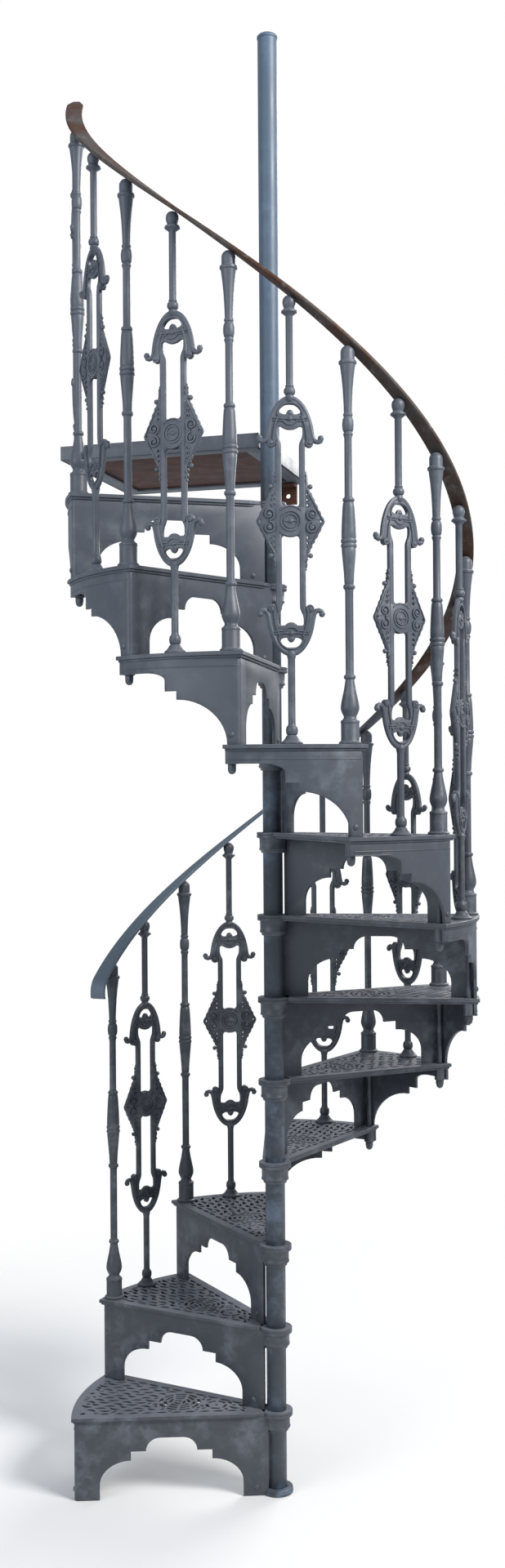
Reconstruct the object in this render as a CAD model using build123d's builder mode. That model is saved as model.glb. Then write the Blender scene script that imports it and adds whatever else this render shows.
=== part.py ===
"""Cast-iron spiral stair: pole, twelve riser-and-tread castings, balusters, handrail and landing.

Millimetres and degrees, +Z up, origin on the pole's axis at ground level. The stair climbs
clockwise seen from above. Each tread casting is drawn with its baluster hole on the +X axis.
"""

from build123d import *
import math
import os

os.makedirs("parts", exist_ok=True)

# Stair
tread_count = 12
first_baluster_tread = 2
rise = 203.2
step_angle = 31.6
first_azimuth = 183.1
seat_gap = 0.3

# Pole
pole_radius = 24.15
pole_wall = 4.0
pole_height = 3588.0
cap_radius = 25.5
cap_rise = 9.0
cap_skirt = 6.0
foot_radius = 39.5
foot_height = 14.0
foot_floor = 5.0

# Tread casting
tread_radius = 504.0
baluster_inset = 27.0
plate_thickness = 9.0
moulding_step = 4.0
moulding_depth = 5.0
nosing_reach = 32.0
back_reach = 15.0
wall_thickness = 8.0
riser_reach = 24.0
skirt_setback = 7.0
corner_radius = 9.0
hub_clearance = 0.35
hub_flange_radius = 39.5
hub_flange_height = 14.0
hub_collar_radius = 32.5
hub_height = 51.0
hub_foot_height = 6.0
hub_foot_radius = 29.0
neck_reach = 62.0
neck_run = 22.0
neck_setback = 6.0
riser_inner_end = 22.0

# Arched opening of the riser, measured from its foot
riser_leg = 62.0
arch_spring = 36.0
arch_shoulder_height = 94.0
arch_shoulder_run = 76.0
arch_step_height = 116.0
arch_step_run = 37.0
arch_crown_height = 148.0
arch_crown_run = 34.0

# Arched opening of the skirt
skirt_leg_angle = 3.5
skirt_arch_angle = 13.6
skirt_arch_height = 100.0
skirt_step_angle = 3.4
skirt_step_height = 119.0
skirt_curl_angle = 6.8
skirt_curl_height = 18.0
skirt_band_depth = 42.0

# Tie rods and bosses
rod_radius = 6.0
rod_clearance = 0.4
boss_radius = 13.5
stud_radius = 5.0
stud_boss_depth = 16.0
nut_radius = 10.5
nut_height = 22.0
nut_thread = 12.0

# Turned baluster
turned_height = 874.0
turned_cap_radius = 15.5
turned_collar_radius = 20.0
turned_shaft_radius = 8.5
turned_foot_radius = 25.0
turned_plinth_height = 52.0
turned_vase_height = 154.0
turned_belly_foot = 338.0
turned_belly_height = 204.0
turned_bell_height = 200.0

# Ornate baluster
ornate_shaft_radius = 8.0
ornate_ball_radius = 13.0
ornate_collar_radius = 17.5
ornate_cap_radius = 14.5
ornate_foot_radius = 24.0
panel_thickness = 12.0
relief = 2.5
bar_width = 13.0
bar_offset = 26.0
yoke_foot = 193.0
yoke_top = 294.0
yoke_reach = 54.0
slot_dip = 20.0
crescent_height = 226.0
crescent_depth = 9.0
rosette_height = 485.0
rosette_radius = 20.0
block_half = 32.0
wing_reach = 70.0
wing_half = 76.0
arch_foot = 654.0
arch_crown = 757.0
arch_reach = 55.0
curl_reach = 66.0
curl_radius = 8.0
eye_offset = 42.0
eye_radius = 10.0

# Handrail
rail_width = 40.0
rail_thickness = 9.0
rail_start_angle = 7.0
rail_end_angle = 3.0
rail_curl_radius = 45.0
rail_curl_angle = 70.0

# Landing frame of steel angle, its plate and its wall lug
landing_rise = 176.0
landing_width = 528.0
landing_depth = 500.0
landing_side_gap = 27.0
landing_near_reach = 8.0
angle_leg = 45.0
angle_height = 36.0
angle_wall = 6.0
landing_plate_thickness = 6.0
plate_gap = 0.5
sleeve_radius = 33.0
lug_width = 50.0
lug_drop = 55.0
lug_inset = 30.0
lug_thickness = 8.0
lug_hole_radius = 6.5

# Worked out from the sizes above
baluster_circle = tread_radius - baluster_inset
skirt_radius = tread_radius - skirt_setback
hub_bore = pole_radius + hub_clearance
skirt_half_angle = math.radians(step_angle / 2 + skirt_leg_angle)
skirt_sagitta = skirt_radius * (1 - math.cos(skirt_half_angle)) + 2 * wall_thickness
rod_hole = rod_radius + rod_clearance
rail_slope = math.atan2(rise, baluster_circle * math.radians(step_angle))
ornate_height = turned_height + rise / 2
landing_height = tread_count * rise + landing_rise


def azimuth(step):
    """Direction of the baluster hole of a tread, counted from 1."""
    return first_azimuth - step_angle * (step - 1)


def level(step):
    """Height of the walking surface of a tread."""
    return step * rise


def placed(solid, step, lift=0.0, turn=0.0):
    """Turn a piece to its step and lift it to the tread's walking surface."""
    return Pos(0, 0, level(step) + lift) * Rot(0, 0, azimuth(step) + turn) * solid


def save(solid, name):
    """Write one named node."""
    solid.label = name
    export_step(solid, f"parts/{name}.step")


def wedge_outline(inset):
    """Tread outline seen from above, drawn in by an inset along its three free edges."""
    front = nosing_reach - inset
    neck_front = front - neck_setback
    back = back_reach - inset
    outer = tread_radius - inset
    turn = math.radians(-step_angle)
    along = (math.cos(turn), math.sin(turn))
    across = (math.sin(turn), -math.cos(turn))
    front_corner = (math.sqrt(outer**2 - front**2), front)
    back_run = math.sqrt(outer**2 - back**2)
    back_corner = (
        back_run * along[0] + back * across[0],
        back_run * along[1] + back * across[1],
    )
    back_root = (back * across[0], back * across[1])
    middle = math.radians(-step_angle / 2)
    mid_arc = (outer * math.cos(middle), outer * math.sin(middle))
    with BuildSketch() as outline:
        with BuildLine():
            Line((0, 0), (0, neck_front))
            Line((0, neck_front), (neck_reach - neck_run, neck_front))
            Line((neck_reach - neck_run, neck_front), (neck_reach, front))
            Line((neck_reach, front), front_corner)
            ThreePointArc(front_corner, mid_arc, back_corner)
            Line(back_corner, back_root)
            Line(back_root, (0, 0))
        make_face()
    return outline.sketch


def block(left, right, low, high, mode=Mode.ADD):
    """Rectangle between two pairs of coordinates, for the sketch in hand."""
    with Locations(((left + right) / 2, (low + high) / 2)):
        Rectangle(right - left, high - low, mode=mode)


def riser_opening():
    """Arched opening of the riser in its own plane, X outward and Y up from its foot."""
    left = riser_inner_end + riser_leg
    right = skirt_radius - riser_leg
    middle = (left + right) / 2
    half = (right - left) / 2
    shoulder = half - arch_shoulder_run
    crown = shoulder - arch_step_run - arch_crown_run
    with BuildSketch() as opening:
        block(left, right, -rise, arch_spring)
        block(middle - shoulder, middle + shoulder, -rise, arch_step_height)
        block(middle - crown, middle + crown, -rise, arch_crown_height)
        for side in (-1, 1):
            with Locations((middle + side * shoulder, arch_spring)):
                Ellipse(arch_shoulder_run, arch_shoulder_height - arch_spring)
            with Locations((middle + side * crown, arch_step_height)):
                Ellipse(arch_crown_run, arch_crown_height - arch_step_height)
    return opening.sketch


def skirt_opening():
    """Arched opening of the curved skirt, unrolled: X back along the arc, Y up from its foot."""
    degree = math.radians(1) * skirt_radius
    arch_start = skirt_leg_angle * degree
    arch_end = arch_start + skirt_arch_angle * degree
    step_end = arch_end + skirt_step_angle * degree
    curl_end = step_end + skirt_curl_angle * degree
    band_end = 2 * step_angle * degree
    band = rise - skirt_band_depth
    with BuildSketch() as opening:
        block(arch_start, band_end, -rise, 0)
        block(arch_end, band_end, -rise, skirt_step_height)
        block(step_end, band_end, -rise, band - skirt_curl_height)
        block(curl_end, band_end, -rise, band)
        with Locations((arch_end, 0)):
            Ellipse(arch_end - arch_start, skirt_arch_height)
        with Locations((curl_end, band - skirt_curl_height)):
            Ellipse(curl_end - step_end, skirt_curl_height)
    return opening.sketch


def skirt_plane():
    """Upright plane that touches the skirt at its middle, X back along it from the front corner."""
    lead = math.asin(riser_reach / skirt_radius)
    middle = lead - math.radians(step_angle) / 2
    run = (lead - middle) * skirt_radius
    outward = (math.cos(middle), math.sin(middle), 0)
    back = (math.sin(middle), -math.cos(middle), 0)
    origin = (
        skirt_radius * outward[0] - run * back[0],
        skirt_radius * outward[1] - run * back[1],
        -rise,
    )
    return Plane(origin, x_dir=back, z_dir=(-outward[0], -outward[1], 0))


def back_wall_cut():
    """Region behind the tread's back edge, which the skirt doesn't reach."""
    far = 2 * tread_radius
    with BuildSketch() as region:
        with Locations(Pos(0, 0) * Rot(0, 0, -step_angle)):
            with Locations((far / 2, -back_reach + moulding_step - far / 2)):
                Rectangle(far, far)
    return region.sketch


def tread_casting(first):
    """One casting: plate, moulded nosing, hub, riser, curved skirt and rod bosses."""
    foot_gap = 0.0 if first else seat_gap
    foot = -rise + foot_gap
    middle = -step_angle / 2
    with BuildPart() as tread:
        # Plate and the second, inset line of its moulded edge
        with BuildSketch():
            add(wedge_outline(0))
        extrude(amount=-plate_thickness)
        with BuildSketch(Plane.XY.offset(-plate_thickness)):
            add(wedge_outline(moulding_step))
        extrude(amount=-moulding_depth)
        # Hub round the pole
        with BuildSketch():
            Circle(hub_flange_radius)
        extrude(amount=-hub_flange_height)
        with BuildSketch():
            Circle(hub_collar_radius)
        extrude(amount=-(hub_height - hub_foot_height))
        with BuildSketch(Plane.XY.offset(-(hub_height - hub_foot_height))):
            Circle(hub_foot_radius)
        extrude(amount=-hub_foot_height)
        # Riser wall and curved skirt share a rounded corner
        with BuildSketch(Plane.XY.offset(foot)) as walls:
            Circle(skirt_radius)
            with Locations((0, skirt_radius + riser_reach)):
                Rectangle(4 * tread_radius, 2 * skirt_radius, mode=Mode.SUBTRACT)
            with Locations((-skirt_radius + riser_inner_end, 0)):
                Rectangle(2 * skirt_radius, 4 * tread_radius, mode=Mode.SUBTRACT)
            add(back_wall_cut(), mode=Mode.SUBTRACT)
            corner = walls.vertices().sort_by(lambda v: v.X + v.Y)[-1]
            fillet(corner, corner_radius)
            with BuildSketch(mode=Mode.PRIVATE) as hollow:
                Circle(skirt_radius - wall_thickness)
                with Locations((0, skirt_radius + riser_reach - wall_thickness)):
                    Rectangle(4 * tread_radius, 2 * skirt_radius, mode=Mode.SUBTRACT)
            add(hollow.sketch, mode=Mode.SUBTRACT)
        extrude(amount=-foot - plate_thickness)
        # Arched openings
        front_face = Plane((0, riser_reach, -rise), x_dir=(1, 0, 0), z_dir=(0, -1, 0))
        with BuildSketch(front_face):
            add(riser_opening())
        extrude(amount=wall_thickness * 1.5, both=True, mode=Mode.SUBTRACT)
        with BuildSketch(skirt_plane()):
            add(skirt_opening())
        extrude(amount=skirt_sagitta, mode=Mode.SUBTRACT)
        with BuildSketch(skirt_plane()):
            add(skirt_opening())
        extrude(amount=-skirt_setback, mode=Mode.SUBTRACT)
        # Bosses for the tie rod of the next baluster and for the stud of the ornate one
        next_hole = Pos(0, 0, 0) * Rot(0, 0, -step_angle) * Pos(baluster_circle, 0, 0)
        stud_hole = Pos(0, 0, 0) * Rot(0, 0, middle) * Pos(baluster_circle, 0, 0)
        with Locations(next_hole):
            Cylinder(boss_radius, skirt_band_depth, align=(Align.CENTER, Align.CENTER, Align.MAX))
        with Locations(stud_hole):
            Cylinder(
                stud_radius + wall_thickness,
                plate_thickness + stud_boss_depth,
                align=(Align.CENTER, Align.CENTER, Align.MAX),
            )
        # Bores
        with Locations((0, 0, 0)):
            Cylinder(hub_bore, 2 * rise + 2, mode=Mode.SUBTRACT)
        with Locations((baluster_circle, 0, 0), next_hole):
            Cylinder(rod_hole, 4 * skirt_band_depth, mode=Mode.SUBTRACT)
        with Locations(stud_hole):
            Cylinder(stud_radius + rod_clearance, 4 * skirt_band_depth, mode=Mode.SUBTRACT)
        if first:
            with Locations((0, 0, -rise)):
                Cylinder(
                    foot_radius + seat_gap,
                    foot_height + seat_gap,
                    align=(Align.CENTER, Align.CENTER, Align.MIN),
                    mode=Mode.SUBTRACT,
                )
    return tread.part


def tie_rod_length():
    """From a tread's surface down through its corner and the tread below, to the nut's seat."""
    return rise + skirt_band_depth + seat_gap


def turned_baluster():
    """Turned baluster with its tie rod, from profile radii at heights up its axis."""
    foot = turned_foot_radius
    shaft = turned_shaft_radius
    collar = turned_collar_radius
    cap = turned_cap_radius
    cap_foot = turned_height - 2 * cap
    plinth = turned_plinth_height
    vase = turned_vase_height
    belly = turned_belly_foot
    belly_top = belly + turned_belly_height
    bell = turned_height - turned_bell_height
    profile = [
        (foot, 0),
        (foot, 5),
        (foot - 4, 8),
        (foot - 5, plinth),
        (shaft + 5.5, plinth + 8),
        (foot - 4.5, plinth + 26),
        (shaft + 1.5, vase - 14),
        (shaft + 4.5, vase - 10),
        (shaft + 4.5, vase - 4),
        (shaft + 0.5, vase),
        (shaft + 0.5, belly),
        (shaft + 4.5, belly + 4),
        (shaft + 4.5, belly + 11),
        (shaft + 2, belly + 18),
        (collar - 4, belly + 90),
        (collar - 2.5, belly + 102),
        (collar - 3.5, belly + 114),
        (shaft + 4.5, belly_top - 10),
        (shaft, belly_top),
        (shaft, bell),
        (shaft + 2.5, bell + 6),
        (shaft + 4.2, bell + 26),
        (shaft + 2.5, bell + 48),
        (shaft + 0.5, bell + 52),
        (collar - 3, cap_foot - 13),
        (collar, cap_foot - 10),
        (collar, cap_foot - 4),
        (cap, cap_foot),
        (cap, turned_height - cap),
    ]
    with BuildPart() as baluster:
        with BuildSketch(Plane.XZ):
            with BuildLine():
                Line((0, 0), profile[0])
                Polyline(*profile)
                RadiusArc(profile[-1], (0, turned_height), -cap)
                Line((0, turned_height), (0, 0))
            make_face()
        revolve(axis=Axis.Z)
        with BuildSketch():
            Circle(rod_radius)
        extrude(amount=-tie_rod_length() - nut_thread)
    return baluster.part


def ornate_outline():
    """Flat ornamental panel of the ornate baluster, X along the rail and Y up from its foot."""
    bar_outer = bar_offset + bar_width / 2
    bar_inner = bar_offset - bar_width / 2
    with BuildSketch() as outline:
        # Lower yoke, hung between the bars
        with Locations((0, yoke_top)):
            Ellipse(yoke_reach, yoke_top - yoke_foot)
        block(-yoke_reach, yoke_reach, yoke_top, yoke_top + yoke_reach * 3, Mode.SUBTRACT)
        # Upper arch, the same turned over
        with Locations((0, arch_foot)):
            Ellipse(arch_reach, arch_crown - arch_foot)
        block(-arch_reach, arch_reach, arch_foot - arch_reach * 2, arch_foot, Mode.SUBTRACT)
        # Open slot between the bars, with round ends
        block(-bar_inner, bar_inner, yoke_top - slot_dip, arch_foot + slot_dip, Mode.SUBTRACT)
        for side in (-1, 1):
            centre = side * bar_offset
            block(
                centre - bar_width / 2,
                centre + bar_width / 2,
                yoke_top - slot_dip,
                arch_foot + slot_dip,
            )
        with Locations((0, yoke_top - slot_dip), (0, arch_foot + slot_dip)):
            Circle(bar_inner, mode=Mode.SUBTRACT)
        # Crescent through the yoke
        with Locations((0, crescent_height)):
            Ellipse(yoke_reach / 2, crescent_depth, mode=Mode.SUBTRACT)
        # Centre block and pointed side wings
        block(-bar_outer, bar_outer, rosette_height - block_half, rosette_height + block_half)
        for side in (-1, 1):
            with BuildLine():
                tip = (side * wing_reach, rosette_height)
                root_high = (side * bar_outer, rosette_height + wing_half)
                root_low = (side * bar_outer, rosette_height - wing_half)
                bow = (side * (wing_reach * 0.86), rosette_height + wing_half * 0.42)
                ThreePointArc(root_high, bow, tip)
                Polyline(tip, root_low, (0, rosette_height), root_high)
            make_face()
        # Curls at the ends of the arch and the yoke
        for height in (yoke_top - curl_radius, arch_foot + curl_radius):
            for side in (-1, 1):
                with Locations((side * curl_reach, height)):
                    Circle(curl_radius)
                block(
                    min(side * bar_offset, side * curl_reach),
                    max(side * bar_offset, side * curl_reach),
                    height - curl_radius / 2,
                    height + curl_radius / 2,
                )
    return outline.sketch


def ornate_baluster():
    """Ornate baluster: turned foot, shafts and cap with a flat pierced panel between."""
    foot = ornate_foot_radius
    shaft = ornate_shaft_radius
    ball = ornate_ball_radius
    cap = ornate_cap_radius
    lower = [
        (foot, 0),
        (foot, 5),
        (shaft + 4, 19),
        (ball, 26),
        (ball, 34),
        (shaft, 42),
        (shaft, yoke_foot + bar_width / 2),
    ]
    top_ball = arch_crown + ball / 2
    collar = ornate_height - 2 * cap - 5
    upper = [
        (shaft, arch_crown - bar_width / 2),
        (ball, top_ball),
        (ball, top_ball + ball / 2),
        (shaft, top_ball + ball),
        (shaft, collar - 8),
        (ornate_collar_radius, collar - 4),
        (ornate_collar_radius, collar),
        (cap - 3, collar + 4),
        (cap, collar + 12),
        (cap, ornate_height - cap),
    ]
    with BuildPart() as baluster:
        with BuildSketch(Plane.YZ):
            add(ornate_outline())
        extrude(amount=panel_thickness / 2, both=True)
        with BuildSketch(Plane.XZ):
            with BuildLine():
                Polyline((0, 0), *lower, (0, lower[-1][1]), (0, 0))
            make_face()
            with BuildLine():
                Polyline((0, upper[0][1]), *upper)
                RadiusArc(upper[-1], (0, ornate_height), -cap)
                Line((0, ornate_height), (0, upper[0][1]))
            make_face()
        revolve(axis=Axis.Z)
        # Raised rosette and scroll eyes on both faces
        with BuildSketch(Plane.YZ):
            with Locations((0, rosette_height)):
                Circle(rosette_radius)
            with Locations(
                (-eye_offset, yoke_top - eye_radius),
                (eye_offset, yoke_top - eye_radius),
                (-eye_offset, arch_foot + eye_radius),
                (eye_offset, arch_foot + eye_radius),
            ):
                Circle(eye_radius)
        extrude(amount=panel_thickness / 2 + relief, both=True)
        with BuildSketch():
            Circle(stud_radius)
        extrude(amount=-(plate_thickness + stud_boss_depth))
    return baluster.part


def acorn_nuts():
    """Domed nuts under the treads, one on the end of each tie rod."""
    with BuildPart() as nuts:
        for step in range(first_baluster_tread, tread_count + 1):
            turn = math.radians(azimuth(step))
            spot = Pos(
                baluster_circle * math.cos(turn),
                baluster_circle * math.sin(turn),
                level(step) - tie_rod_length(),
            )
            with Locations(spot):
                Cylinder(
                    nut_radius,
                    nut_height,
                    align=(Align.CENTER, Align.CENTER, Align.MAX),
                )
                Cylinder(
                    rod_hole,
                    nut_thread + seat_gap,
                    align=(Align.CENTER, Align.CENTER, Align.MAX),
                    mode=Mode.SUBTRACT,
                )
    return nuts.part


def newel_pole():
    """Tube that carries the treads."""
    with BuildPart() as pole:
        with BuildSketch():
            Circle(pole_radius)
            Circle(pole_radius - pole_wall, mode=Mode.SUBTRACT)
        extrude(amount=pole_height - foot_floor - seat_gap)
    return Pos(0, 0, foot_floor + seat_gap) * pole.part


def pole_cap():
    """Low domed cap with a spigot in the tube."""
    with BuildPart() as cap:
        with BuildSketch(Plane.XZ):
            with BuildLine():
                bore = pole_radius - pole_wall - seat_gap
                Polyline(
                    (0, pole_height - cap_skirt * 3),
                    (bore, pole_height - cap_skirt * 3),
                    (bore, pole_height),
                    (cap_radius, pole_height),
                    (cap_radius, pole_height + cap_skirt),
                )
                RadiusArc(
                    (cap_radius, pole_height + cap_skirt),
                    (0, pole_height + cap_skirt + cap_rise),
                    -(cap_radius**2 + cap_rise**2) / (2 * cap_rise),
                )
                Line((0, pole_height + cap_skirt + cap_rise), (0, pole_height - cap_skirt * 3))
            make_face()
        revolve(axis=Axis.Z)
    return cap.part


def pole_foot():
    """Round foot on the ground, a shallow closed cup that the pole stands in."""
    with BuildPart() as foot:
        with BuildSketch():
            Circle(foot_radius)
        extrude(amount=foot_height)
        with BuildSketch(Plane.XY.offset(foot_floor)):
            Circle(hub_bore)
        extrude(amount=foot_height, mode=Mode.SUBTRACT)
    return foot.part


def handrail():
    """Flat bar wound over the balusters' caps, with its low end curled down."""
    turns = (
        (tread_count - first_baluster_tread) * step_angle
        + step_angle / 2
        + rail_start_angle
        + rail_end_angle
    )
    pitch = rise * 360 / step_angle
    cap_rest = (turned_cap_radius + seat_gap) / math.cos(rail_slope)
    centre_lift = rail_thickness / 2 / math.cos(rail_slope)
    start_height = (
        level(first_baluster_tread)
        + turned_height
        - turned_cap_radius
        + cap_rest
        + centre_lift
        - rise * rail_start_angle / step_angle
    )
    along = (0, -math.cos(rail_slope), math.sin(rail_slope))
    curl_start = 90 + math.degrees(rail_slope)
    start = Plane((baluster_circle, 0, 0), x_dir=(1, 0, 0), z_dir=along)
    side = Plane((baluster_circle, 0, 0), x_dir=(0, -1, 0), z_dir=(-1, 0, 0))
    with BuildPart() as rail:
        with BuildLine() as path:
            Helix(pitch, pitch * turns / 360, baluster_circle, lefthand=True)
        with BuildSketch(start):
            Rectangle(rail_width, rail_thickness)
        sweep(path=path.wires()[0], is_frenet=True)
        with BuildSketch(side):
            centre = (
                rail_curl_radius * math.sin(rail_slope),
                -rail_curl_radius * math.cos(rail_slope),
            )
            with BuildLine():
                outer = CenterArc(
                    centre, rail_curl_radius + rail_thickness / 2, curl_start, rail_curl_angle
                )
                inner = CenterArc(
                    centre, rail_curl_radius - rail_thickness / 2, curl_start, rail_curl_angle
                )
                Line(outer @ 0, inner @ 0)
                Line(outer @ 1, inner @ 1)
            make_face()
        extrude(amount=rail_width / 2, both=True)
    lift = Pos(0, 0, start_height)
    return lift * Rot(0, 0, azimuth(first_baluster_tread) + rail_start_angle) * rail.part


def landing_rectangle(margin):
    """Landing outline drawn in by a margin, X away from the pole and Y to the front."""
    with BuildSketch() as outline:
        block(
            landing_side_gap + margin,
            landing_side_gap + landing_width - margin,
            landing_near_reach - landing_depth + margin,
            landing_near_reach - margin,
        )
    return outline.sketch


def landing_frame():
    """Welded frame of steel angle with the sleeve that sits on the top hub."""
    with BuildPart() as frame:
        with BuildSketch(Plane.XY.offset(-angle_height)):
            add(landing_rectangle(0))
            add(landing_rectangle(angle_wall), mode=Mode.SUBTRACT)
        extrude(amount=angle_height)
        with BuildSketch(Plane.XY.offset(-angle_height)):
            add(landing_rectangle(0))
            add(landing_rectangle(angle_leg), mode=Mode.SUBTRACT)
        extrude(amount=angle_wall)
        with BuildSketch():
            Circle(sleeve_radius)
        extrude(amount=-(landing_rise - seat_gap))
        with Locations((0, 0, 0)):
            Cylinder(hub_bore, 4 * landing_rise, mode=Mode.SUBTRACT)
    return frame.part


def landing_plate():
    """Plain plate laid in the frame, notched round the sleeve."""
    with BuildPart() as plate:
        with BuildSketch(Plane.XY.offset(-angle_height + angle_wall + seat_gap)):
            add(landing_rectangle(angle_wall + plate_gap))
            Circle(sleeve_radius + plate_gap, mode=Mode.SUBTRACT)
        extrude(amount=landing_plate_thickness)
    return plate.part


def wall_lug():
    """Drilled lug hung from the frame's far corner, its back face flush with the frame's."""
    far = landing_near_reach - landing_depth
    left = landing_side_gap + lug_inset
    with BuildPart() as lug:
        with BuildSketch(Plane.XY.offset(-angle_height - seat_gap)):
            block(left, left + lug_width, far, far + lug_thickness)
        extrude(amount=-lug_drop)
        with BuildSketch(Plane.XY.offset(-angle_height - seat_gap)):
            block(left, left + lug_width, far, far + angle_leg)
        extrude(amount=-lug_thickness)
        with BuildSketch(Plane((left + lug_width / 2, far, -angle_height - lug_drop / 2 - 4),
                               x_dir=(1, 0, 0), z_dir=(0, -1, 0))):
            Circle(lug_hole_radius)
        extrude(amount=2 * lug_thickness, both=True, mode=Mode.SUBTRACT)
    return lug.part


def main():
    for step in range(1, tread_count + 1):
        save(placed(tread_casting(step == 1), step), f"tread_{step:02d}")
    turned = Pos(baluster_circle, 0, 0) * turned_baluster()
    ornate = Rot(0, 0, -step_angle / 2) * Pos(baluster_circle, 0, 0) * ornate_baluster()
    for step in range(first_baluster_tread, tread_count + 1):
        save(placed(turned, step), f"turned_baluster_{step:02d}")
        save(placed(ornate, step), f"ornate_baluster_{step:02d}")
    save(acorn_nuts(), "acorn_nuts")
    save(newel_pole(), "newel_pole")
    save(pole_cap(), "pole_cap")
    save(pole_foot(), "pole_foot")
    save(handrail(), "handrail")
    top = Pos(0, 0, landing_height) * Rot(0, 0, azimuth(tread_count + 1))
    save(top * landing_frame(), "landing_frame")
    save(top * landing_plate(), "landing_plate")
    save(top * wall_lug(), "wall_lug")


main()
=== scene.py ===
"""Cast-iron spiral staircase: pierced treads, turned and ornate balusters, handrail and landing.

Everything is in metres, +Z up, with the pole's axis at the origin. The stair climbs clockwise
seen from above. Each tread is modelled once with its baluster hole on the +X axis, and copied.
"""

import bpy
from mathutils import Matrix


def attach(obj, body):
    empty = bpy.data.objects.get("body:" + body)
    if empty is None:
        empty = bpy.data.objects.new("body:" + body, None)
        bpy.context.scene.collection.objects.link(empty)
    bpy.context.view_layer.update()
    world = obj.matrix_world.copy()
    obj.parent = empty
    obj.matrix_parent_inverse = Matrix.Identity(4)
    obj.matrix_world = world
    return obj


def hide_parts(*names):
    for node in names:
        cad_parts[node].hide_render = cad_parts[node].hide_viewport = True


bl_info = {
    "name": "Cast-iron spiral staircase",
    "version": (1, 0, 0),
    "blender": (4, 5, 0),
    "location": "View3D > Sidebar > Staircase",
    "description": "Models and paints the pieces of a cast-iron spiral staircase",
    "category": "Object",
}

import bpy
import math
from mathutils import Matrix, Vector

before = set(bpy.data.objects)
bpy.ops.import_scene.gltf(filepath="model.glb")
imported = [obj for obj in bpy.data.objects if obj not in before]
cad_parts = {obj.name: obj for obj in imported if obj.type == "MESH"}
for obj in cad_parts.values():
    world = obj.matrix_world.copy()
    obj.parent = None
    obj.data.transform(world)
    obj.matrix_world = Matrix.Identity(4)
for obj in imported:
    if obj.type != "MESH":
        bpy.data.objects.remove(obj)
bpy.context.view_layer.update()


# Sizes and colours that a user would change


class StairSizes(bpy.types.PropertyGroup):
    """Sizes of the staircase"""

    tread_count: bpy.props.IntProperty(
        name="Treads", description="Number of tread castings", default=12, min=2
    )
    first_baluster_tread: bpy.props.IntProperty(
        name="First railed tread", description="Lowest tread that carries balusters", default=2
    )
    rise: bpy.props.FloatProperty(
        name="Rise", description="Height of a step", default=0.2032, unit="LENGTH"
    )
    step_angle: bpy.props.FloatProperty(
        name="Step angle", description="Turn of a step", default=math.radians(31.6),
        subtype="ANGLE",
    )
    first_azimuth: bpy.props.FloatProperty(
        name="First azimuth", description="Direction of the first tread's baluster hole",
        default=math.radians(183.1), subtype="ANGLE",
    )
    baluster_circle: bpy.props.FloatProperty(
        name="Baluster circle", description="Radius that the balusters stand on",
        default=0.477, unit="LENGTH",
    )
    tread_radius: bpy.props.FloatProperty(
        name="Tread radius", description="Outer radius of the treads", default=0.504,
        unit="LENGTH",
    )
    plate_thickness: bpy.props.FloatProperty(
        name="Plate thickness", description="Thickness of the tread plate", default=0.009,
        unit="LENGTH",
    )
    pole_radius: bpy.props.FloatProperty(
        name="Pole radius", description="Outer radius of the pole", default=0.02415,
        unit="LENGTH",
    )
    pole_height: bpy.props.FloatProperty(
        name="Pole height", description="Height of the pole's tube", default=3.588,
        unit="LENGTH",
    )
    turned_height: bpy.props.FloatProperty(
        name="Turned height", description="Height of a turned baluster over its tread",
        default=0.874, unit="LENGTH",
    )
    rail_width: bpy.props.FloatProperty(
        name="Rail width", description="Width of the handrail", default=0.04, unit="LENGTH"
    )
    rail_thickness: bpy.props.FloatProperty(
        name="Rail thickness", description="Thickness of the handrail", default=0.009,
        unit="LENGTH",
    )


class StairColours(bpy.types.PropertyGroup):
    """Colours of the finishes"""

    casting: bpy.props.FloatVectorProperty(
        name="Casting paint", description="Blue-grey paint of the castings",
        default=(0.092, 0.106, 0.132), subtype="COLOR",
    )
    casting_light: bpy.props.FloatVectorProperty(
        name="Worn paint", description="Chalky patches of the casting paint",
        default=(0.165, 0.185, 0.215), subtype="COLOR",
    )
    pole: bpy.props.FloatVectorProperty(
        name="Pole paint", description="Blue-grey of the pole's bare upper length",
        default=(0.088, 0.130, 0.185), subtype="COLOR",
    )
    # Painted shade: this dark colour stands in for the shade on the pole between the treads, not
    # for a second paint.
    pole_shade: bpy.props.FloatVectorProperty(
        name="Low pole paint", description="Dark paint of the pole between the treads",
        default=(0.030, 0.038, 0.050), subtype="COLOR",
    )
    rust: bpy.props.FloatVectorProperty(
        name="Rust", description="Rust on bare iron", default=(0.155, 0.062, 0.028),
        subtype="COLOR",
    )
    rail: bpy.props.FloatVectorProperty(
        name="Rail steel", description="Dark brown steel of the upper handrail",
        default=(0.088, 0.076, 0.070), subtype="COLOR",
    )
    rail_low: bpy.props.FloatVectorProperty(
        name="Low rail paint", description="Blue-grey paint left on the handrail's low end",
        default=(0.125, 0.160, 0.200), subtype="COLOR",
    )
    plate: bpy.props.FloatVectorProperty(
        name="Landing plate", description="Rust red of the landing plate",
        default=(0.072, 0.027, 0.021), subtype="COLOR",
    )
    floor: bpy.props.FloatVectorProperty(
        name="Floor", description="Pale floor", default=(0.80, 0.80, 0.80), subtype="COLOR"
    )


def sizes():
    return bpy.context.scene.stair_sizes


def colours():
    return bpy.context.scene.stair_colours


def azimuth(step):
    """Direction of a tread's baluster hole, with treads counted from 1."""
    s = sizes()
    return s.first_azimuth - s.step_angle * (step - 1)


def at_step(step):
    """Matrix that takes a tread drawn at the origin to its step."""
    return Matrix.Translation((0, 0, step * sizes().rise)) @ Matrix.Rotation(azimuth(step), 4, "Z")


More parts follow.
